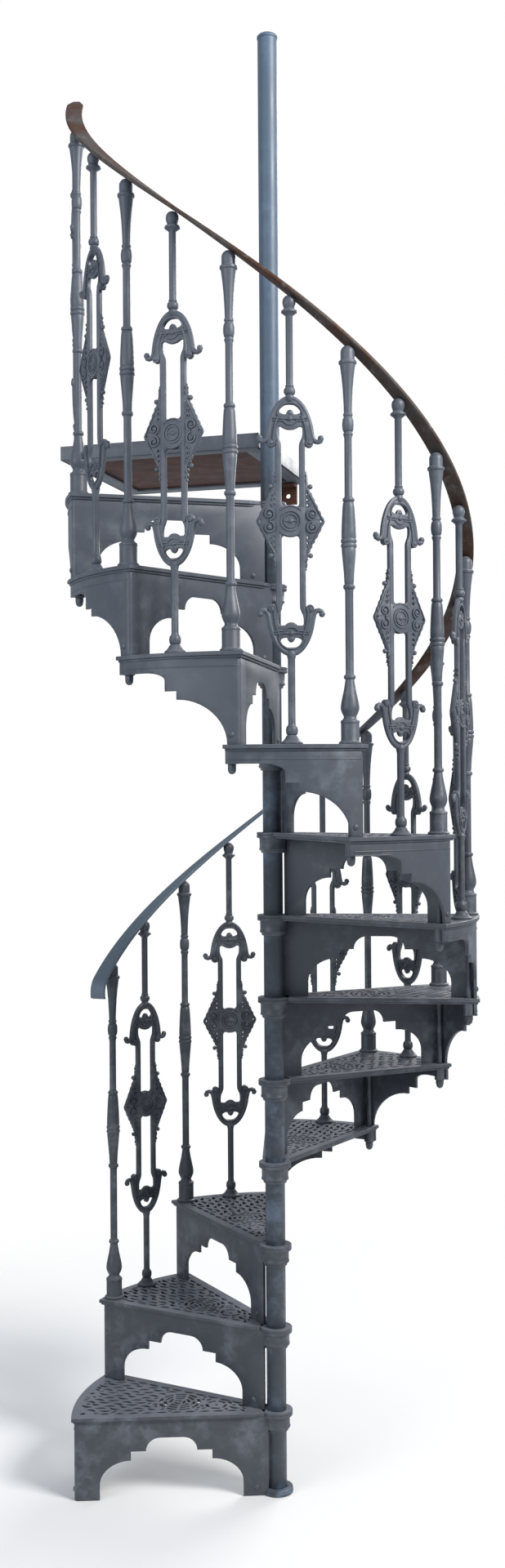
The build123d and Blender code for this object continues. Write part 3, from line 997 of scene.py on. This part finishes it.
def panel_openings():
    """Slots between the bars, crescents with their drops, and small holes of the wings."""
    low_slot = both_sides(in_metres([
        (0, 265), (6, 264), (11, 261), (14, 258), (25, 258), (27.5, 261), (27.5, 273), (26, 281),
        (22.5, 288), (20, 295), (19.5, 302), (19.5, 446), (17.5, 451), (12, 453.5), (0, 454.5),
    ]))
    high_slot = both_sides(in_metres([
        (0, 515), (12, 516), (17.5, 518.5), (19.5, 523), (19.5, 646), (20, 653), (22.5, 660),
        (26, 667), (27.5, 675), (27.5, 687), (25, 690), (19.6, 690), (16, 687.4), (11, 685),
        (5.5, 683.5), (0, 683),
    ]))
    crescent = in_metres([
        (-23.8, 222), (-21, 215.5), (-14, 211.5), (-5, 210), (5, 210), (14, 211.5), (21, 215.5),
        (23.8, 222), (22, 228), (16, 231), (9, 231.5), (7.2, 227), (4.2, 222.6), (0, 221),
        (-4.2, 222.6), (-7.2, 227), (-9, 231.5), (-16, 231), (-22, 228),
    ])
    openings = [low_slot, high_slot, crescent, flipped(crescent)]
    for side in (-1, 1):
        for x, y, radius in (
            (37.0, 519.5, 1.7), (36.5, 531.5, 1.5), (36.2, 542.5, 1.3), (66.5, 484.6, 1.6),
            (37.0, 450.0, 1.7), (36.5, 438.0, 1.5), (36.2, 427.0, 1.3),
        ):
            centre = (side * x * 0.001, y * 0.001)
            openings.append(arc(centre, radius * 0.001, radius * 0.0018, 0, 315, 7))
    return openings


def ornate_sheets():
    """Flat members of the ornate panel, drawn with X along the rail and Y up."""
    sheets = [cast_sheet("panel", [panel_outline()] + panel_openings(), 0.0085, edge=0.0014)]
    for side in (-1, 1):
        bar = in_metres([
            (22.6, 290), (27.5, 284), (31.5, 286), (32.8, 300), (32.4, 316), (32.4, 632),
            (32.8, 648), (31.5, 662), (27.5, 664), (22.6, 658), (19.8, 640), (19.6, 620),
            (19.6, 328), (19.8, 308),
        ])
        sheets.append(cast_sheet(
            "bar", [on_side(side, bar)], panel_depth - 0.0008, edge=0.0030, resolution=2
        ))
    block = in_metres([(-31, 454), (31, 454), (31, 515), (-31, 515)])
    sheets.append(cast_sheet("centre_block", [block], panel_depth - 0.0004, edge=0.0016))
    return sheets


def both_faces(points, depth):
    """The same path on the front and the back of the panel."""
    return [[(x, y, z) for x, y in points] for z in (depth, -depth)]


def ornate_relief():
    """Rims, scrolls, rings, leaves and ram's-horn curls on both faces of the ornate panel."""
    # Fat outer rim of the yoke, running out to a curl at each end; the arch has the same
    horn = in_metres([
        (48.4, 276), (50.6, 284.5), (55, 289.6), (61, 290.8), (66.6, 288.6), (69.4, 283.6),
        (67.0, 279.6),
    ])
    sweep = arc((0, yoke_level), 0.0485, 0.0975, -90, -14, 18)
    half_rim = sweep + horn
    rim = [(-x, y) for x, y in reversed(half_rim[1:])] + half_rim
    rims = [[(x, y, 0.0) for x, y in path] for path in (rim, flipped(rim))]
    pieces = [wire("rims", rims, 0.0056, resolution=2)]
    # Inner band that follows the rim and ends in a scroll over the bar
    bands = []
    for side in (-1, 1):
        eye = list(reversed(spiral((0.0420, yoke_level), 0.0078, 0.0024, 180, -1.3, 18)))
        down = arc((0, yoke_level), 0.0372, 0.0800, -3, -48, 12)
        path = on_side(side, eye + down)
        bands += both_faces(path, band_depth) + both_faces(flipped(path), band_depth)
    pieces.append(wire("bands", bands, 0.0027, resolution=1))
    # Rings of the rosette and of the two roundels
    rings = both_faces(arc((0, rosette_level), 0.0215, 0.0215, 0, 345, 24), 0.0062)
    rings += both_faces(arc((0, rosette_level), 0.0150, 0.0150, 0, 342, 20), 0.0062)
    pieces.append(wire("rings", rings, 0.0020, closed=True))
    cords = []
    for path in (
        arc((0, 0.2335), 0.0275, 0.0270, 180, 360, 18),
        arc((0, 0.2390), 0.0165, 0.0150, 165, 15, 10),
        in_metres([(-37, 239.5), (-18, 241), (0, 241.5), (18, 241), (37, 239.5)]),
        in_metres([(-37, 244.5), (-26, 245.4), (-16.5, 245.8)]),
        in_metres([(37, 244.5), (26, 245.4), (16.5, 245.8)]),
    ):
        cords += both_faces(path, band_depth) + both_faces(flipped(path), band_depth)
    cords += both_faces(in_metres([(-13, 484.8), (13, 484.8)]), 0.0060)
    cords += both_faces(arc((0, 0.4925), 0.0290, 0.0245, 38, 142, 10), 0.0056)
    cords += both_faces(arc((0, 0.4770), 0.0290, 0.0245, 218, 322, 10), 0.0056)
    pieces.append(wire("cords", cords, 0.0020))
    # Wings: two scrolls, a rim to the point, leaves up and down the bar
    scrolls, edges = [], []
    for side in (-1, 1):
        for centre, outer, start, turns in (
            ((0.0475, 0.4992), 0.0130, 262, -1.55),
            ((0.0475, 0.4704), 0.0130, 98, 1.55),
        ):
            path = spiral(centre, outer, 0.0030, start, turns, 26)
            scrolls += both_faces(on_side(side, path), 0.0050)
        for path in (
            [(36.5, 553), (42.5, 541.5), (50.5, 526), (57.5, 512), (64.5, 499), (71.0, 485.5)],
            [(36.5, 416.6), (42.5, 428.1), (50.5, 443.6), (57.5, 457.6), (64.5, 470.6),
             (71.0, 484.0)],
        ):
            edges += both_faces(on_side(side, in_metres(path)), edge_depth)
        for x, y, length, lean in (
            (40.5, 519.5, 7.5, 58), (39.6, 531.0, 7.0, 64), (38.4, 542.0, 6.0, 70),
            (34.0, 572.0, 6.0, 84), (34.0, 583.0, 5.0, 86),
        ):
            out = length * math.cos(math.radians(lean))
            for flip in (1, -1):
                rise = flip * length * math.sin(math.radians(lean))
                level = rosette_level * 1000 + flip * (y - 484.8)
                path = [(x - out * 0.5, level - rise * 0.5), (x, level),
                        (x + out * 0.6, level + rise * 0.5)]
                edges += both_faces(on_side(side, in_metres(path)), edge_depth)
    pieces.append(wire("scrolls", scrolls, 0.0031, ends=0.75, resolution=1))
    pieces.append(wire("edges", edges, 0.0019))
    for side in (-1, 1):
        for x, y, z, radius, squash in (
            (42.0, 294, 5.6, 4.4, 0.8), (42.0, 654, 5.6, 4.4, 0.8),
            (47.5, 499.0, 5.4, 4.6, 0.7), (47.5, 470.6, 5.4, 4.6, 0.7),
        ):
            for depth in (z, -z):
                place = (side * x * 0.001, y * 0.001, depth * 0.001)
                pieces.append(ball("eye", place, radius * 0.001, squash))
        for x, y, radius in (
            (67.2, 282.6, 6.6), (67.2, 665.4, 6.6), (43.5, 559.8, 5.6), (43.5, 409.8, 5.6),
        ):
            place = (side * x * 0.001, y * 0.001, 0)
            pieces.append(ball("curl_end", place, radius * 0.001, 0.95))
        for y in (559.8, 409.8):
            stem = in_metres([(31, y), (43.5, y)])
            pieces.append(wire("stem", [[(side * a, b, 0.0) for a, b in stem]], 0.0036))
    for depth in (0.0058, -0.0058):
        pieces.append(ball("rosette_eye", (0, rosette_level, depth), 0.0058, 0.5))
        for level in (0.2410, 0.7070):
            pieces.append(ball("knop", (0, level, depth * 0.9), 0.0052, 0.6))
    for level in (0.2285, 0.7195):
        pieces.append(ball("drop", (0, level, 0), 0.0066, 0.95))
    return pieces


def ornate_master():
    """One ornate baluster at the origin: turned foot, shafts and cap with the panel between."""
    s = sizes()
    top = (s.turned_height + s.rise / 2) * 1000
    collar = top - 34
    pieces = [upright(piece) for piece in ornate_sheets() + ornate_relief()]
    lower = [(0, 0.2), (23.2, 0.2), (24, 1), (24, 4), (22.8, 5.2), (19, 8), (15, 13),
             (12.2, 18.5)]
    lower += bulge(9.5, 3.7, 20, 40, 8)
    lower += [(8.6, 42), (8, 46), (8, 184), (9.4, 190), (10.5, 196), (7, 203), (0, 203)]
    pieces.append(lathe("ornate_foot", in_metres(lower), 28))
    upper = [(0, 745), (7, 745), (10.2, 752), (9.0, 757.5)]
    upper += bulge(8, 5.0, 759, 775, 8)
    upper += bulge(8, 1.6, 775.8, 780.4, 4)
    upper += [(8, 783), (8, collar - 12), (9.2, collar - 10), (15, collar - 5),
              (17.2, collar - 3.8), (17.5, collar - 2), (17.2, collar), (13, collar + 3),
              (11.4, collar + 6), (12.6, collar + 9.5), (14.2, collar + 15)]
    upper += [(14.5, top - 14), (13.9, top - 10), (12.0, top - 5.8), (8.8, top - 2.6),
              (4.6, top - 0.7), (0, top)]
    pieces.append(lathe("ornate_top", in_metres(upper), 28))
    stud = in_metres([(0, -25), (4.6, -25), (5, -24), (5, 1), (0, 1)])
    pieces.append(lathe("stud", stud, 12))
    return joined("ornate_master", pieces)


def copy_to_treads(master, name, node, ahead):
    """Stand a copy of a baluster on each railed tread, and discard the master."""
    s = sizes()
    for step in range(s.first_baluster_tread, s.tread_count + 1):
        piece = copied(master, f"{name}_{step:02d}", at_baluster(step, ahead))
        finished(piece, f"{node}_{step:02d}", casting_paint())
    discard(master)


class MODEL_OT_turned_balusters(bpy.types.Operator):
    """Model the turned baluster once and copy it along the rail"""

    bl_idname = "staircase.turned_balusters"
    bl_label = "Turned balusters"

    def execute(self, context):
        copy_to_treads(turned_master(), "turned", "turned_baluster", 0)
        return {"FINISHED"}


class MODEL_OT_ornate_balusters(bpy.types.Operator):
    """Model the ornate baluster once and copy it along the rail"""

    bl_idname = "staircase.ornate_balusters"
    bl_label = "Ornate balusters"

    def execute(self, context):
        copy_to_treads(ornate_master(), "ornate", "ornate_baluster", 0.5)
        return {"FINISHED"}


class MODEL_OT_nuts(bpy.types.Operator):
    """Model the domed nuts on the ends of the tie rods"""

    bl_idname = "staircase.nuts"
    bl_label = "Domed nuts"

    def execute(self, context):
        s = sizes()
        clear_selection()
        bpy.ops.mesh.primitive_cylinder_add(vertices=6, radius=0.0104, depth=0.011)
        hexagon = bpy.context.object
        lifted(hexagon, -0.0055)
        bpy.ops.object.modifier_add(type="BEVEL")
        hexagon.modifiers[-1].width = 0.0008
        hexagon.modifiers[-1].segments = 2
        bpy.ops.object.modifier_apply(modifier=hexagon.modifiers[-1].name)
        shade(hexagon)
        dome = lathe("dome", in_metres([
            (0, -10), (8.5, -10), (9, -10.8), (9, -13), (8.2, -16.5), (6.2, -19.5), (3.4, -21.4),
            (0, -22),
        ]), 20)
        master = joined("nut_master", [hexagon, dome])
        drop = s.rise + skirt_band + seat_gap
        nuts = []
        for step in range(s.first_baluster_tread, s.tread_count + 1):
            place = at_baluster(step, 0) @ Matrix.Translation((0, 0, -drop))
            turn = Matrix.Rotation(0.7 * step, 4, "Z")
            nuts.append(copied(master, "nut", place @ turn))
        discard(master)
        finished(joined("domed_nuts", nuts), "acorn_nuts", casting_paint())
        return {"FINISHED"}


# Pole, handrail and landing


class MODEL_OT_pole(bpy.types.Operator):
    """Model the pole with its cap and its foot"""

    bl_idname = "staircase.pole"
    bl_label = "Pole"

    def execute(self, context):
        s = sizes()
        paint = pole_paint()
        radius, top = s.pole_radius, s.pole_height
        tube = lathe("pole_tube", [
            (0.0202, 0.0054), (radius - 0.0004, 0.0054), (radius, 0.0060), (radius, top - 0.0006),
            (radius - 0.0004, top - 0.0001), (0.0202, top - 0.0001),
        ], 48, closed=True)
        finished(tube, "newel_pole", paint)
        cap = lathe("pole_top", [
            (0, top - 0.018), (0.0195, top - 0.018), (0.0198, top), (0.0250, top),
            (0.0255, top + 0.0006), (0.0255, top + 0.0052), (0.0248, top + 0.0066),
            (0.0215, top + 0.0098), (0.0165, top + 0.0124), (0.0105, top + 0.0142),
            (0.0050, top + 0.0149), (0, top + 0.0150),
        ], 48)
        finished(cap, "pole_cap", paint)
        foot = lathe("pole_socket", [
            (0, 0), (0.0390, 0), (0.0395, 0.0006), (0.0395, 0.0070), (0.0385, 0.0082),
            (0.0390, 0.0094), (0.0388, 0.0124), (0.0375, 0.0138), (0.0255, 0.0140),
            (0.0245, 0.0132), (0.0245, 0.0050), (0, 0.0050),
        ], 48)
        finished(foot, "pole_foot", paint)
        return {"FINISHED"}


class MODEL_OT_handrail(bpy.types.Operator):
    """Wind the flat handrail over the balusters and curl its low end down"""

    bl_idname = "staircase.handrail"
    bl_label = "Handrail"

    def execute(self, context):
        s = sizes()
        slope = math.atan2(s.rise, s.baluster_circle * s.step_angle)
        start_angle, end_angle = math.radians(7), math.radians(3)
        steps = s.tread_count - s.first_baluster_tread + 0.5
        turns = steps * s.step_angle + start_angle + end_angle
        climb = s.rise * turns / s.step_angle
        tall = s.rail_thickness / math.cos(slope)
        cap_radius = 0.0155
        base = (s.first_baluster_tread * s.rise + s.turned_height - cap_radius
                + (cap_radius + seat_gap) / math.cos(slope) + tall / 2
                - s.rise * start_angle / s.step_angle)
        clear_selection()
        bpy.ops.mesh.primitive_plane_add(size=1, location=(0, 0, 0))
        rail = bpy.context.object
        moved(rail, Matrix.Diagonal((s.rail_width, tall, 1, 1)))
        moved(rail, Matrix.Rotation(math.pi / 2, 4, "X"))
        moved(rail, Matrix.Translation((s.baluster_circle, 0, 0)))
        bpy.ops.object.mode_set(mode="EDIT")
        bpy.ops.mesh.select_all(action="SELECT")
        bpy.ops.mesh.bevel(offset=0.0032, segments=3, affect="VERTICES")
        bpy.ops.mesh.select_all(action="SELECT")
        bpy.ops.mesh.delete(type="ONLY_FACE")
        bpy.ops.object.mode_set(mode="OBJECT")
        bpy.ops.object.modifier_add(type="SCREW")
        screw = rail.modifiers[-1]
        screw.angle = -turns
        screw.screw_offset = climb
        screw.steps = 150
        screw.render_steps = 150
        screw.use_merge_vertices = False
        bpy.ops.object.modifier_apply(modifier=screw.name)
        # The top end is narrowed towards its middle line
        end_width = 0.45
        for vertex in rail.data.vertices:
            if vertex.co.z > climb - tall * 0.7:
                radius = math.hypot(vertex.co.x, vertex.co.y)
                narrow = (s.baluster_circle + (radius - s.baluster_circle) * end_width) / radius
                vertex.co.x *= narrow
                vertex.co.y *= narrow
        # The low end bends down round a centre below it
        bend = 0.045
        low = [vertex.index for vertex in rail.data.vertices if abs(vertex.co.y) < 1e-6
               and abs(vertex.co.z) < tall]
        bpy.ops.object.mode_set(mode="EDIT")
        bpy.ops.mesh.select_all(action="DESELECT")
        bpy.ops.object.mode_set(mode="OBJECT")
        for index in low:
            rail.data.vertices[index].select = True
        bpy.ops.object.mode_set(mode="EDIT")
        bpy.ops.mesh.select_mode(type="VERT")
        centre = (s.baluster_circle, -bend * math.sin(slope), -bend * math.cos(slope))
        bpy.ops.mesh.spin(steps=12, angle=math.radians(70), center=centre, axis=(1, 0, 0))
        bpy.ops.mesh.select_all(action="SELECT")
        bpy.ops.mesh.remove_doubles(threshold=merge_gap)
        bpy.ops.mesh.select_all(action="DESELECT")
        bpy.ops.mesh.select_mode(type="EDGE")
        bpy.ops.mesh.select_non_manifold()
        bpy.ops.mesh.edge_face_add()
        bpy.ops.mesh.select_all(action="SELECT")
        bpy.ops.mesh.normals_make_consistent(inside=False)
        bpy.ops.object.mode_set(mode="OBJECT")
        turn = azimuth(s.first_baluster_tread) + start_angle
        moved(rail, Matrix.Translation((0, 0, base)) @ Matrix.Rotation(turn, 4, "Z"))
        rail.name = "rail_band"
        shade(rail, 40)
        finished(rail, "handrail", rail_finish())
        return {"FINISHED"}


def rectangle(left, right, low, high):
    return [(left, low), (right, low), (right, high), (left, high)]


class MODEL_OT_landing(bpy.types.Operator):
    """Model the landing: steel angle frame, sleeve, rusty plate and wall lug"""

    bl_idname = "staircase.landing"
    bl_label = "Landing"

    def execute(self, context):
        s = sizes()
        left, right, low, high = 0.027, 0.555, -0.492, 0.008
        tall, leg, skin = 0.036, 0.045, 0.006
        landing_rise, sleeve_radius, gap = 0.176, 0.033, 0.0005
        lug_width, lug_drop, lug_thickness = 0.050, 0.055, 0.008
        place = (
            Matrix.Translation((0, 0, s.tread_count * s.rise + landing_rise))
            @ Matrix.Rotation(azimuth(s.tread_count + 1), 4, "Z")
        )
        upright_legs = cast_sheet("upright_legs", [
            rectangle(left, right, low, high),
            rectangle(left + skin, right - skin, low + skin, high - skin),
        ], tall, edge=0.0009)
        lifted(upright_legs, -tall / 2)
        flat_legs = cast_sheet("flat_legs", [
            rectangle(left + 0.001, right - 0.001, low + 0.001, high - 0.001),
            rectangle(left + leg, right - leg, low + leg, high - leg),
        ], skin, edge=0.0009)
        lifted(flat_legs, -tall + skin / 2)
        drop = landing_rise - seat_gap
        sleeve = lathe("sleeve", [
            (hub_bore, 0), (0.0322, 0), (sleeve_radius, -0.0008),
            (sleeve_radius, -drop + 0.0008), (0.0322, -drop), (hub_bore, -drop),
        ], 48, closed=True)
        framework = joined("landing_angles", [upright_legs, flat_legs, sleeve])
        moved(framework, place)
        finished(framework, "landing_frame", casting_paint())
        # The plate lies in the frame, with its near left corner notched round the sleeve
        reach = sleeve_radius + gap
        edge_x, edge_y = left + skin + gap, high - skin - gap
        start = math.degrees(math.asin(edge_y / reach))
        end = -math.degrees(math.acos(min(1, edge_x / reach)))
        notch = arc((0, 0), reach, reach, end, start, 5) if end < start else [(edge_x, edge_y)]
        outline = notch + [
            (right - skin - gap, edge_y), (right - skin - gap, low + skin + gap),
            (edge_x, low + skin + gap),
        ]
        plate = cast_sheet("landing_sheet", [outline], 0.006, edge=0.0006)
        lifted(plate, -tall + skin + seat_gap + 0.003)
        moved(plate, place)
        rust = plate_finish()
        finished(plate, "landing_plate", rust)
        lug_left = left + 0.030
        lug_right = lug_left + lug_width
        tab = cast_sheet("lug_tab", [
            rectangle(lug_left, lug_right, -lug_drop, 0),
            arc((lug_left + lug_width / 2, -0.0315), 0.0065, 0.0065, 0, 340, 17),
        ], lug_thickness, edge=0.0008)
        moved(tab, Matrix.Rotation(math.pi / 2, 4, "X"))
        moved(tab, Matrix.Translation((0, low + lug_thickness / 2, -tall - seat_gap)))
        flange = cast_sheet("lug_flange", [rectangle(lug_left, lug_right, low, low + leg)],
                            lug_thickness, edge=0.0008)
        lifted(flange, -tall - seat_gap - lug_thickness / 2)
        lug = joined("lug", [tab, flange])
        moved(lug, place)
        finished(lug, "wall_lug", rust)
        return {"FINISHED"}


# Floor, light and camera


def area_light(name, place, aim, width, power, colour):
    clear_selection()
    bpy.ops.object.light_add(type="AREA", location=place)
    lamp = bpy.context.object
    lamp.name = name
    lamp.rotation_mode = "QUATERNION"
    lamp.rotation_quaternion = (Vector(aim) - Vector(place)).to_track_quat("-Z", "Y")
    lamp.data.shape = "SQUARE"
    lamp.data.size = width
    lamp.data.energy = power
    lamp.data.color = colour


class MODEL_OT_stage(bpy.types.Operator):
    """Set the floor, the soft light and the camera"""

    bl_idname = "staircase.stage"
    bl_label = "Stage"

    def execute(self, context):
        clear_selection()
        bpy.ops.mesh.primitive_plane_add(size=60, location=(0, 0, -0.0005))
        floor = bpy.context.object
        floor.name = "floor"
        material, tree, shader = new_material("pale_floor")
        shader.inputs["Base Color"].default_value = (*colours().floor, 1)
        shader.inputs["Roughness"].default_value = 0.9
        place = tree.nodes.new("ShaderNodeTexCoord").outputs["Object"]
        reach = tree.nodes.new("ShaderNodeVectorMath")
        reach.operation = "LENGTH"
        tree.links.new(place, reach.inputs[0])
        fade = ramp(tree, reach.outputs["Value"], 1.0, 2.6)
        keep = tree.nodes.new("ShaderNodeMath")
        keep.operation = "SUBTRACT"
        keep.inputs[0].default_value = 1.0
        tree.links.new(fade, keep.inputs[1])
        tree.links.new(keep.outputs[0], shader.inputs["Alpha"])
        floor.data.materials.append(material)
        area_light("key", (4.4, -3.2, 5.4), (0, 0, 1.8), 2.2, 480, (1.0, 0.97, 0.94))
        area_light("fill", (-5.0, -4.2, 3.2), (0, 0, 1.6), 4.0, 150, (0.90, 0.95, 1.0))
        area_light("rim", (2.6, 4.6, 4.4), (0, 0, 1.8), 3.0, 170, (1.0, 0.98, 0.95))
        world = bpy.context.scene.world or bpy.data.worlds.new("world")
        bpy.context.scene.world = world
        world.use_nodes = True
        tree = world.node_tree
        background = tree.nodes["Background"]
        background.inputs["Color"].default_value = (0.80, 0.86, 0.95, 1)
        background.inputs["Strength"].default_value = 0.55
        white = tree.nodes.new("ShaderNodeBackground")
        white.inputs["Color"].default_value = (1, 1, 1, 1)
        white.inputs["Strength"].default_value = 1.0
        seen = tree.nodes.new("ShaderNodeLightPath")
        choose = tree.nodes.new("ShaderNodeMixShader")
        tree.links.new(seen.outputs["Is Camera Ray"], choose.inputs["Fac"])
        tree.links.new(background.outputs["Background"], choose.inputs[1])
        tree.links.new(white.outputs["Background"], choose.inputs[2])
        tree.links.new(choose.outputs["Shader"], tree.nodes["World Output"].inputs["Surface"])
        bpy.ops.object.camera_add(
            location=(-0.0491, -3.9043, 1.7319),
            rotation=(math.radians(90.19), math.radians(0.40), 0),
        )
        camera = bpy.context.object
        camera.data.sensor_width = 36
        camera.data.lens = 36.26
        camera.data.clip_end = 200
        bpy.context.scene.camera = camera
        bpy.context.scene.view_settings.view_transform = "Standard"
        return {"FINISHED"}


class VIEW3D_PT_staircase(bpy.types.Panel):
    """Lists the pieces of the staircase"""

    bl_label = "Spiral staircase"
    bl_idname = "VIEW3D_PT_staircase"
    bl_space_type = "VIEW_3D"
    bl_region_type = "UI"
    bl_category = "Staircase"

    def draw(self, context):
        layout = self.layout
        for group in (context.scene.stair_sizes, context.scene.stair_colours):
            box = layout.box()
            for name in group.__annotations__:
                box.prop(group, name)
        for operator in piece_operators:
            layout.operator(operator.bl_idname)


piece_operators = (
    MODEL_OT_treads,
    MODEL_OT_turned_balusters,
    MODEL_OT_ornate_balusters,
    MODEL_OT_nuts,
    MODEL_OT_pole,
    MODEL_OT_handrail,
    MODEL_OT_landing,
    MODEL_OT_stage,
)
classes = (StairSizes, StairColours) + piece_operators + (VIEW3D_PT_staircase,)


def register():
    for cls in classes:
        bpy.utils.register_class(cls)
    bpy.types.Scene.stair_sizes = bpy.props.PointerProperty(type=StairSizes)
    bpy.types.Scene.stair_colours = bpy.props.PointerProperty(type=StairColours)


def unregister():
    del bpy.types.Scene.stair_colours
    del bpy.types.Scene.stair_sizes
    for cls in reversed(classes):
        bpy.utils.unregister_class(cls)


def main():
    register()
    bpy.ops.staircase.treads()
    bpy.ops.staircase.turned_balusters()
    bpy.ops.staircase.ornate_balusters()
    bpy.ops.staircase.nuts()
    bpy.ops.staircase.pole()
    bpy.ops.staircase.handrail()
    bpy.ops.staircase.landing()
    bpy.ops.staircase.stage()


if __name__ == "__main__":
    main()
